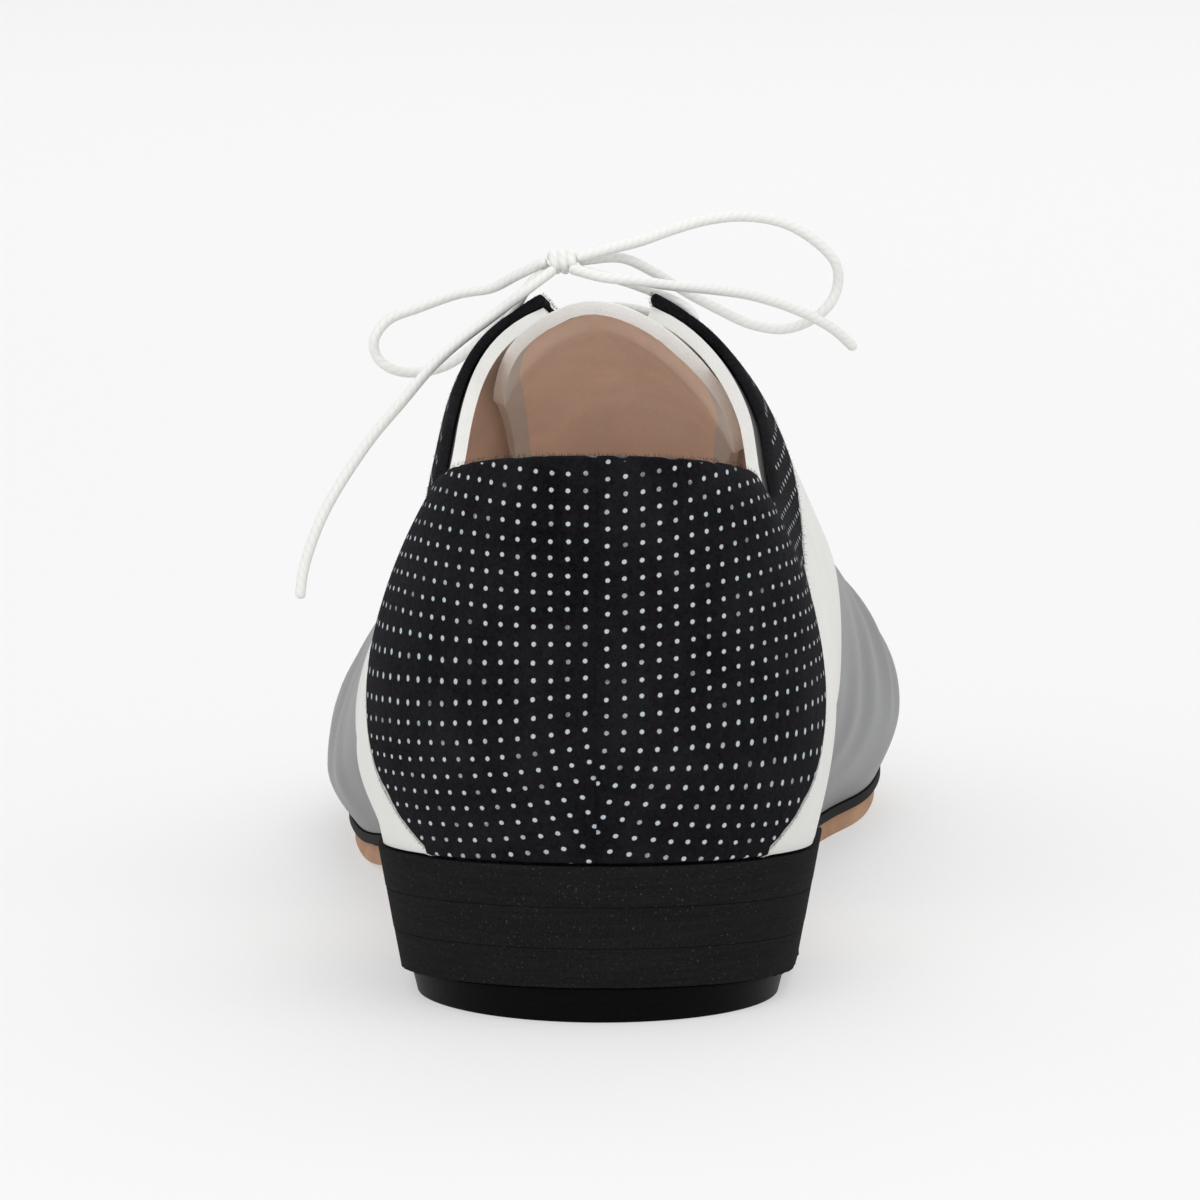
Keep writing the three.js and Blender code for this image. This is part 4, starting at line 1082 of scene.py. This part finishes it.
def make_nap(last, side, ats, bottom, top):
    """Loose fibres of the suede: along the collar, along the cut front edge, and strewn over its face"""
    leather = last.leather
    rng = np.random.default_rng(71 + SIDES[side])
    collar, cut_edge, face = leather.fibre_count, leather.fibre_count * 3 // 4, leather.fibre_count * 3 // 2
    counts = (collar, cut_edge, face)
    run = np.linspace(0, len(ats) - 1, 4000)
    dense = [np.interp(run, np.arange(len(ats)), values) for values in (ats, bottom, top)]
    points = last.shell(dense[0], SIDES[side] * (1 - dense[2]), last.shell_out)
    weight = np.concatenate(([0], np.linalg.norm(np.diff(points, axis=0), axis=1)))
    picks = rng.choice(len(run), sum(counts), p=weight / weight.sum())
    at, low, high = (values[picks] for values in dense)
    kind = np.repeat([0, 1, 2], counts)
    share = rng.random(len(at))
    climb = np.choose(kind, [high, low, low + (high - low) * share])
    around = SIDES[side] * (1 - climb)
    out = last.normal(at, around)
    depth = np.choose(kind, [rng.random(len(at)) * leather.quarter * 0.9, np.full(len(at), leather.quarter * 0.5),
                             np.full(len(at), 0.0001)])
    root = last.shell(at, around, last.shell_out - depth)
    upward = unit(last.point(at, around * 0.98) - last.point(at, around))
    ahead = np.cross(upward, out) * SIDES[side]
    stray = rng.normal(0, 1, (len(at), 3))
    way = np.choose(kind[:, None], [upward + out * 0.35, -upward * 0.6 + out * 0.5, out * 0.45 - upward * 0.4])
    way = unit(way + ahead * 0.1 + stray * np.choose(kind, [0.42, 0.45, 0.55])[:, None])
    reach = leather.fibre * (0.5 + rng.random(len(at)) * np.choose(kind, [1.0, 0.9, 0.5]))
    thick = leather.fibre * 0.05
    bpy.ops.object.select_all(action="DESELECT")
    bpy.ops.mesh.primitive_cone_add(vertices=3, radius1=thick, radius2=0, depth=leather.fibre)
    piece = bpy.context.object
    piece.name = piece.data.name = f"suede_nap_{side}"
    piece.data.materials.append(finishes()["suede_fibre"])
    modify(piece, "ARRAY", count=len(at), use_relative_offset=False)
    across = unit(np.cross(way, [0.31, 0.17, 0.94]))
    other = np.cross(way, across)
    corners = [root + (across * math.cos(a) + other * math.sin(a)) * thick - way * thick
               for a in (0, 2 * math.pi / 3, 4 * math.pi / 3)] + [root + way * reach[:, None]]
    piece.data.vertices.foreach_set("co", np.stack(corners, axis=1).ravel())
    piece.data.update()
    edit(piece, (bpy.ops.mesh.normals_make_consistent, {"inside": False}))
    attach(piece, "root")


def make_quarter(last, side):
    outer = last.shell_out
    reach = float(QUARTER_EDGE["at"][-2]) + 0.006
    ats = reach * np.linspace(0, 1, 300)**1.6
    top = last.top_climb(side, ats, outer)
    bottom = last.climb_to_edge(side, ats, outer, QUARTER_EDGE)
    bottom = np.where(ats < QUARTER_EDGE["at"][0], 0, bottom)
    keep = np.argmax(bottom >= top) if (bottom >= top).any() else len(ats)
    ats, top, bottom = ats[:keep + 1], top[:keep + 1], np.minimum(bottom, top)[:keep + 1]
    piece = panel(last, f"quarter_{side}_suede", side, ats, bottom, top, last.leather.quarter,
                  last.leather.raw_edge, 0.00016, 11 + SIDES[side], Flattened(last, side, PATTERN_WARP[side]),
                  (f"dotted_suede_{side}", "suede_raw_edge", "suede_edge"), 0.0006)
    drill_holes(last, piece, [side])
    smooth(piece, 50)
    make_nap(last, side, ats, bottom, top)
    return finished(piece, f"quarter_{side}", "dotted_suede")


def make_band(last, side):
    outer = last.sole.gap + last.leather.band
    start, reach = float(QUARTER_EDGE["at"][0]) + 0.002, SLIT_END - 0.002
    ats = start + (reach - start) * np.linspace(0, 1, 300)
    quarter = last.climb_to_edge(side, ats, outer, QUARTER_EDGE, last.sole.gap)
    top = np.minimum(quarter, last.top_climb(side, ats, outer))
    bottom = last.climb_to_edge(side, ats, outer, BAND_EDGE)
    bottom = np.where(ats < BAND_EDGE["at"][0], 0, bottom)
    good = top > bottom
    first, end = np.argmax(good), len(ats) - np.argmax(good[::-1])
    first, end = max(first - 1, 0), min(end + 1, len(ats))
    ats, top, bottom = ats[first:end], top[first:end], np.minimum(bottom, top)[first:end]
    piece = panel(last, f"band_{side}_leather", side, ats, bottom, top, last.leather.band,
                  0.0005, 0.0, 3, Flattened(last, side), ["white_leather"] * 3)
    smooth(piece, 50)
    return finished(piece, f"band_{side}", "white_leather")


def make_tongue(last):
    """The tongue, pressed down where the lace lies over it"""
    leather = last.leather
    columns, rows = 110, 60
    middle = float(last.ridge_x(np.array([(TONGUE_START + TONGUE_END) / 2]))[0])

    def place(u, v):
        at = TONGUE_START + (TONGUE_END - TONGUE_START) * u
        along = (at - TONGUE_START) * last.length
        share = np.clip(along / ((TONGUE_END - TONGUE_START) * last.length), 0, 1)
        half = (leather.tongue_width + (leather.tongue_foot - leather.tongue_width) * share) / 2
        into = np.clip(leather.tongue_corner - along, 0, leather.tongue_corner)
        half = half - leather.tongue_corner + np.sqrt(np.maximum(leather.tongue_corner**2 - into**2, 0))
        goal = middle + (2 * v - 1) * half
        ridge = last.ridge_x(at)
        press = smooth_step((at - PRESS_START) / 0.04) * smooth_step((PRESS_END - at) / 0.03)
        offset = -leather.wall - last.sole.gap - leather.tongue_press * press
        points = np.empty((len(u), 3))
        for side, sign in SIDES.items():
            chosen = (goal - ridge) * sign >= 0
            climb = last.climb_where(side, at[chosen], offset[chosen],
                                     lambda p, c=chosen, s=sign: (p[..., 0] - goal[c]) * s > 0)
            points[chosen] = last.shell(at[chosen], sign * (1 - climb), offset[chosen])
        return points, np.stack([along, (goal - middle)], axis=-1)

    def number(u, v):
        return np.where((u < 0.035) | (np.abs(v - 0.5) > 0.43), 1, 0)

    piece = surface("tongue_leather", columns, rows, place,
                    ("white_leather", "white_leather", "lining_leather", "white_lining_edge"), number)
    faces_outward(last, piece)
    modify(piece, "SOLIDIFY", thickness=leather.tongue, offset=-1.0, use_even_offset=False, material_offset=2,
           material_offset_rim=3)
    modify(piece, "BEVEL", width=0.0005, segments=2, limit_method="ANGLE", angle_limit=math.radians(60))
    smooth(piece, 50)
    return finished(piece, "tongue", "white_leather")


# Sole and heel

def plate(last, name, material, from_at, margin, top_over_seam, thickness, round_edge):
    """A sole layer: a sheet across the sole's outline, given its thickness downward and rounded at its edge"""
    columns, rows = 150, 24
    start = math.acos(1 - 2 * from_at)

    def place(u, v):
        at = np.where(u == 0, from_at, (1 - np.cos(start + (math.pi - start) * u)) / 2)
        left, right = (last.outline(at, side, margin) for side in SIDES)
        if from_at > 0:
            left[:, 1] = np.where(u == 0, from_at * last.length + last.shift[1], left[:, 1])
            right[:, 1] = np.where(u == 0, from_at * last.length + last.shift[1], right[:, 1])
        spread = v[:, None]
        points = left * (1 - spread) + right * spread
        points[:, 2] = last.seam_height(points[:, 1] - last.shift[1]) + top_over_seam
        return points, points[:, :2]

    piece = surface(name, columns, rows, place, [material])
    welded(piece, 1e-6)
    if sum(face.normal.z for face in piece.data.polygons) < 0:
        edit(piece, (bpy.ops.mesh.flip_normals, {}))
    edit(piece, (bpy.ops.mesh.extrude_region_move, {"TRANSFORM_OT_translate": {"value": (0, 0, -thickness)}}),
         (bpy.ops.mesh.select_all, {"action": "SELECT"}),
         (bpy.ops.mesh.normals_make_consistent, {"inside": False}))
    modify(piece, "BEVEL", width=round_edge, segments=3, limit_method="ANGLE", angle_limit=math.radians(50))
    smooth(piece, 40)
    return piece


def heel_outline(last, margin, count):
    """The heel's outline in plan, from the lateral breast round the back to the medial breast"""
    end = last.sizes.heel_length / last.length
    steps = np.linspace(-1, 1, 2 * count + 1)
    ats = end * steps**2
    points = np.where((steps < 0)[:, None], last.outline(ats, "lateral", margin), last.outline(ats, "medial", margin))
    points[[0, -1], 1] = last.sizes.heel_length + last.shift[1]
    return points


def heel_piece(last, name, material, margins, heights, round_edge, burr, seed):
    """A heel layer: rings from its foot to its top, closed by flat faces. It has a margin and a height, which
    depends on the distance from the heel back, for the foot and for the top."""
    count, wall_rows = 60, 8
    breast_steps = 14
    rings = []
    rng = np.random.default_rng(seed)
    for k in range(wall_rows + 1):
        t = k / wall_rows
        points = heel_outline(last, margins[0] + (margins[1] - margins[0]) * t, count)
        across = np.linspace(points[-1], points[0], breast_steps + 2)[1:-1]
        ring = np.concatenate([points, across])
        low, high = (height(ring[:, 1] - last.shift[1]) for height in heights)
        ring[:, 2] = low + (high - low) * t
        if burr and k == 0:
            ring[:, :2] += rng.normal(0, burr, (len(ring), 2))
        rings.append(ring)
    rings = np.array(rings)
    centre = rings.mean(axis=1)
    rings = np.concatenate([np.repeat(centre[:1, None], rings.shape[1], axis=1), rings,
                            np.repeat(centre[-1:, None], rings.shape[1], axis=1)])
    around, rows = rings.shape[1], rings.shape[0] - 1

    def place(u, v):
        i = np.round(u * around).astype(int) % around
        j = np.round(v * rows).astype(int)
        points = rings[j, i]
        return points, np.stack([u * 0.16, points[:, 2]], axis=-1)

    piece = surface(name, around, rows, place, [material])
    welded(piece, 1e-7)
    if round_edge:
        modify(piece, "BEVEL", width=round_edge, segments=2, limit_method="ANGLE", angle_limit=math.radians(40))
    smooth(piece, 35)
    return piece


def make_heel(last):
    sizes, sole = last.sizes, last.sole
    block = last.breast_height - sole.lift_front - 2 * sole.gap
    layer = (block - (sole.heel_layers - 1) * sole.gap) / sole.heel_layers

    def plane(drop):
        return lambda y: sizes.heel_height - y * last.slope - drop

    for number in range(sole.heel_layers):
        top = sole.gap + number * (layer + sole.gap)
        foot = top + layer
        margins = [last.shell_out - sole.heel_taper * (drop - sole.gap) / block for drop in (foot, top)]
        lowest = number == sole.heel_layers - 1
        name = f"heel_layer_{number + 1}"
        close = 0 if lowest else 0.00026
        piece = heel_piece(last, f"{name}_rubber", "heel_rubber", margins, (plane(foot + close), plane(top)),
                           0.00012, 0.00009 if lowest else 0, 40 + number)
        finished(piece, name, "heel_rubber")
    margin = last.shell_out - sole.heel_taper - sole.lift_inset
    lift = heel_piece(last, "top_lift_rubber", "lift_rubber", (margin - sole.lift_inset / 2, margin),
                      (lambda y: 0 * y, lambda y: sole.lift_front + (sizes.heel_length - y) * last.slope),
                      0.0005, 0, 5)
    finished(lift, "top_lift", "lift_rubber")


def make_sole(last):
    sole = last.sole
    breast = (last.sizes.heel_length + sole.gap) / last.length
    layers = (
        ("insole", "leather", "lining", "lining_leather", 0, -last.leather.wall - 2 * sole.gap, sole.insole,
         sole.insole, 0.0006),
        ("edge_band", "black", "black_edge", "black_edge", breast, sole.edge_band_margin, -sole.gap,
         sole.edge_band, 0.0003),
        ("outsole", "leather", "tan_leather", "tan_leather", breast, -sole.outsole_inset,
         -2 * sole.gap - sole.edge_band, sole.outsole, 0.0005),
    )
    for node, stuff, slot, material, from_at, margin, top_over_seam, thickness, round_edge in layers:
        piece = plate(last, f"{node}_{stuff}", material, from_at, margin, top_over_seam, thickness, round_edge)
        finished(piece, node, slot)


# Lace

def lace_through_holes(last):
    """The lace's way through the holes, as (share of the length, signed distance from the ridge, offset) steps from
    the middle of the bottom bar up to the top hole, for the end that starts on one side"""
    radius = bpy.context.scene.shoe_lace.diameter / 2
    over = last.shell_out + radius + 0.00015
    under = -last.leather.wall - radius - 0.0001
    entry, middle_depth = 0.0012, -0.0010
    ways = {}
    for side, sign in SIDES.items():
        rise = radius * 1.06 * sign
        way = []
        bottom, far = last.hole(LACE_PAIRS - 1)
        way += [(bottom, sign * far * 0.45, over), (bottom, sign * (far - 0.0018), over + 0.0001),
                (bottom, sign * (far - 0.0003), over * 0.62), (bottom, sign * far, middle_depth)]
        here = sign
        for pair in range(LACE_PAIRS - 1, 0, -1):
            at, distance = last.hole(pair)
            goal, goal_distance = last.hole(pair - 1)
            inside = pair == LACE_PAIRS - 1
            edge = float(last.slit_half(at))
            goal_edge = float(last.slit_half(goal))
            if inside:
                way += [(at - 0.003, here * (distance - entry), under), (at - 0.008, here * edge, under)]
            else:
                way += [(at - 0.002, here * (distance - entry), over), (at - 0.008, here * (edge + 0.001), over)]
            middle = (at + goal) / 2
            level = under + radius * 1.1 if inside else 0.0
            way += [(middle, 0.0, level + rise)]
            way += [(goal + 0.008, -here * goal_edge, under), (goal + 0.003, -here * (goal_distance - entry), under),
                    (goal, -here * goal_distance, middle_depth), (goal, -here * (goal_distance - 0.0003), over * 0.62)]
            here = -here
        at, distance = last.hole(0)
        way += [(at, here * (distance - 0.0018), over)]
        ways[side] = [last.at_ridge_distance(*step) for step in way], here
    return ways


def make_lacing(last):
    """The laced part: one cord from the knot through all holes and back to the knot"""
    lace = bpy.context.scene.shoe_lace
    ways = lace_through_holes(last)
    knot = np.array(KNOT_PLACE) + last.shift
    ends = {}
    for side, (points, here) in ways.items():
        reach = knot + np.array([here * 0.0024, 0.0002, -0.0012])
        above = (points[-1] + reach) / 2 + np.array([0, 0, 0.0009])
        ends[side] = points + [above, reach]
    points = ends["lateral"][::-1] + ends["medial"]
    piece = tube("lacing_cord", smooth_path(points, 7), lace.diameter / 2, 10, "lace_cord")
    return finished(piece, "lacing", "lace_cord")


def make_knot(last):
    """The bow's knot: the cord wound round itself"""
    lace = bpy.context.scene.shoe_lace
    centre = np.array(KNOT_PLACE) + last.shift
    turns, half_width, half_depth, half_height = 2.6, 0.0017, 0.0014, 0.0011
    turn = np.linspace(0, turns, 80)
    angle = turn * 2 * math.pi
    wind = np.stack([2 * half_width * turn / turns - half_width, np.cos(angle) * half_depth,
                     np.sin(angle) * half_height], axis=-1)
    piece = tube("lace_knot_cord", centre + wind, lace.diameter / 2, 10, "lace_cord")
    return finished(piece, "lace_knot", "lace_cord")


def make_bow(last):
    """The free lace: two loops from the knot back to it, and two bare ends"""
    lace = bpy.context.scene.shoe_lace
    into_knot = 0.0016
    knot = make_knot(last)
    for name, points in LACE_ROUTES.items():
        route = np.array(points) + last.shift
        ends = [0, -1] if "loop" in name else [0]
        for end in ends:
            inward = np.array(KNOT_PLACE) + last.shift - route[end]
            route[end] += inward * min(1, into_knot / np.linalg.norm(inward))
        path = smooth_path(route, 8)
        piece = tube(f"{name}_cord", path, lace.diameter / 2, 12, "lace_cord")
        finished(piece, name, "lace_cord")


# Stage

# Metres and degrees, with the focal length in pixels
CAMERA = {"target": (0.00029, -0.0657, 0.05366), "azimuth": -1.37, "elevation": 8.15, "distance": 1.4085,
          "focal_pixels": 9481}
IMAGE_WIDTH, SENSOR_WIDTH = 1200, 36
WORLD_STRENGTH = 0.84

# Name, place, target and size in metres, and power in watts
LIGHTS = (
    ("key", (0.7, -0.7, 1.9), (0, 0, 0.04), (1.6, 1.6), 9),
    ("fill", (-0.5, -1.7, 0.9), (0, 0, 0.05), (1.5, 1.0), 9),
    ("back", (0.2, 1.6, 1.4), (0, 0.05, 0.04), (1.6, 0.8), 7),
)


def make_camera(target, azimuth, elevation, distance, focal_pixels):
    """The camera at the photograph's angle"""
    a, e = math.radians(azimuth), math.radians(elevation)
    back = Vector((-math.sin(a) * math.cos(e), -math.cos(a) * math.cos(e), math.sin(e)))
    bpy.ops.object.camera_add(location=Vector(target) + back * distance,
                              rotation=(-back).to_track_quat("-Z", "Y").to_euler())
    camera = bpy.context.object
    camera.name = "camera"
    camera.data.sensor_width = SENSOR_WIDTH
    camera.data.lens = SENSOR_WIDTH * focal_pixels / IMAGE_WIDTH
    camera.data.clip_end = 50
    bpy.context.scene.camera = camera


def make_light(name, place, target, size, power):
    away = Vector(target) - Vector(place)
    bpy.ops.object.light_add(type="AREA", location=place, rotation=away.to_track_quat("-Z", "Y").to_euler())
    light = bpy.context.object
    light.name = name
    light.data.shape = "RECTANGLE"
    light.data.size, light.data.size_y = size
    light.data.energy = power


def make_floor():
    bpy.ops.object.select_all(action="DESELECT")
    bpy.ops.mesh.primitive_plane_add(size=14, location=(0, 0, 0))
    floor = bpy.context.object
    floor.name = floor.data.name = "floor"
    finish = Finish("floor_paper", Specular_IOR_Level=0.1, Emission_Strength=0.44)
    cloud = finish.noise(finish.place(), 0.6, 2, 0.5)
    base = tuple(bpy.context.scene.shoe_colours.floor)
    floor.data.materials.append(finish.give(Base_Color=finish.mix(cloud, shade(base, 0.995), shade(base, 1.005)),
                                            Roughness=0.9, Emission_Color=(1.0, 1.0, 1.0, 1.0)))


class SHOE_OT_stage(bpy.types.Operator):
    """Add the camera, the floor and the studio light"""
    bl_idname = "shoe.stage"
    bl_label = "Stage"

    def execute(self, context):
        make_camera(**CAMERA)
        make_floor()
        context.scene.view_settings.view_transform = "Standard"
        world = bpy.data.worlds.new("studio")
        context.scene.world = world
        world.use_nodes = True
        background = world.node_tree.nodes["Background"]
        background.inputs["Color"].default_value = (1, 1, 1, 1)
        background.inputs["Strength"].default_value = WORLD_STRENGTH
        for light in LIGHTS:
            make_light(*light)
        return {"FINISHED"}


class SHOE_OT_lace(bpy.types.Operator):
    """Lay the free lace: knot, loops and ends"""
    bl_idname = "shoe.lace"
    bl_label = "Bow"

    def execute(self, context):
        make_bow(Last(context.scene))
        return {"FINISHED"}


class SHOE_OT_lacing(bpy.types.Operator):
    """Run the lace through its holes"""
    bl_idname = "shoe.lacing"
    bl_label = "Lacing"

    def execute(self, context):
        make_lacing(Last(context.scene))
        return {"FINISHED"}


class SHOE_OT_upper(bpy.types.Operator):
    """Make the lasted upper with its lining"""
    bl_idname = "shoe.upper"
    bl_label = "Upper"

    def execute(self, context):
        make_upper(Last(context.scene))
        return {"FINISHED"}


class SHOE_OT_quarters(bpy.types.Operator):
    """Make the dotted suede quarters"""
    bl_idname = "shoe.quarters"
    bl_label = "Quarters"

    def execute(self, context):
        last = Last(context.scene)
        for side in SIDES:
            make_quarter(last, side)
        return {"FINISHED"}


class SHOE_OT_bands(bpy.types.Operator):
    """Make the white leather bands"""
    bl_idname = "shoe.bands"
    bl_label = "Bands"

    def execute(self, context):
        last = Last(context.scene)
        for side in SIDES:
            make_band(last, side)
        return {"FINISHED"}


class SHOE_OT_tongue(bpy.types.Operator):
    """Make the tongue"""
    bl_idname = "shoe.tongue"
    bl_label = "Tongue"

    def execute(self, context):
        make_tongue(Last(context.scene))
        return {"FINISHED"}


class SHOE_OT_sole(bpy.types.Operator):
    """Make insole, edge band and outsole"""
    bl_idname = "shoe.sole"
    bl_label = "Sole"

    def execute(self, context):
        make_sole(Last(context.scene))
        return {"FINISHED"}


class SHOE_OT_heel(bpy.types.Operator):
    """Make the layered heel and its top lift"""
    bl_idname = "shoe.heel"
    bl_label = "Heel"

    def execute(self, context):
        make_heel(Last(context.scene))
        return {"FINISHED"}


GROUPS = {"shoe_last": LastSizes, "shoe_leather": LeatherSizes, "shoe_sole": SoleSizes, "shoe_lace": LaceSizes,
          "shoe_colours": ShoeColours}
OPERATORS = (SHOE_OT_stage, SHOE_OT_lace, SHOE_OT_lacing, SHOE_OT_upper, SHOE_OT_quarters, SHOE_OT_bands,
             SHOE_OT_tongue, SHOE_OT_sole, SHOE_OT_heel)


class SHOE_PT_panel(bpy.types.Panel):
    """Lists the shoe's sizes, colours and pieces"""
    bl_label = "Tango shoe"
    bl_idname = "SHOE_PT_panel"
    bl_space_type = "VIEW_3D"
    bl_region_type = "UI"
    bl_category = "Tango shoe"

    def draw(self, context):
        for operator in OPERATORS:
            self.layout.operator(operator.bl_idname)
        for group, kind in GROUPS.items():
            for name in kind.__annotations__:
                self.layout.prop(getattr(context.scene, group), name)


def register():
    for group, kind in GROUPS.items():
        bpy.utils.register_class(kind)
        setattr(bpy.types.Scene, group, bpy.props.PointerProperty(type=kind))
    for kind in (*OPERATORS, SHOE_PT_panel):
        bpy.utils.register_class(kind)


def unregister():
    for kind in (SHOE_PT_panel, *reversed(OPERATORS)):
        bpy.utils.unregister_class(kind)
    for group, kind in GROUPS.items():
        delattr(bpy.types.Scene, group)
        bpy.utils.unregister_class(kind)


def main():
    register()
    bpy.ops.shoe.stage()
    bpy.ops.shoe.lace()
    bpy.ops.shoe.lacing()
    bpy.ops.shoe.upper()
    bpy.ops.shoe.quarters()
    bpy.ops.shoe.bands()
    bpy.ops.shoe.tongue()
    bpy.ops.shoe.sole()
    bpy.ops.shoe.heel()


if __name__ == "__main__":
    main()
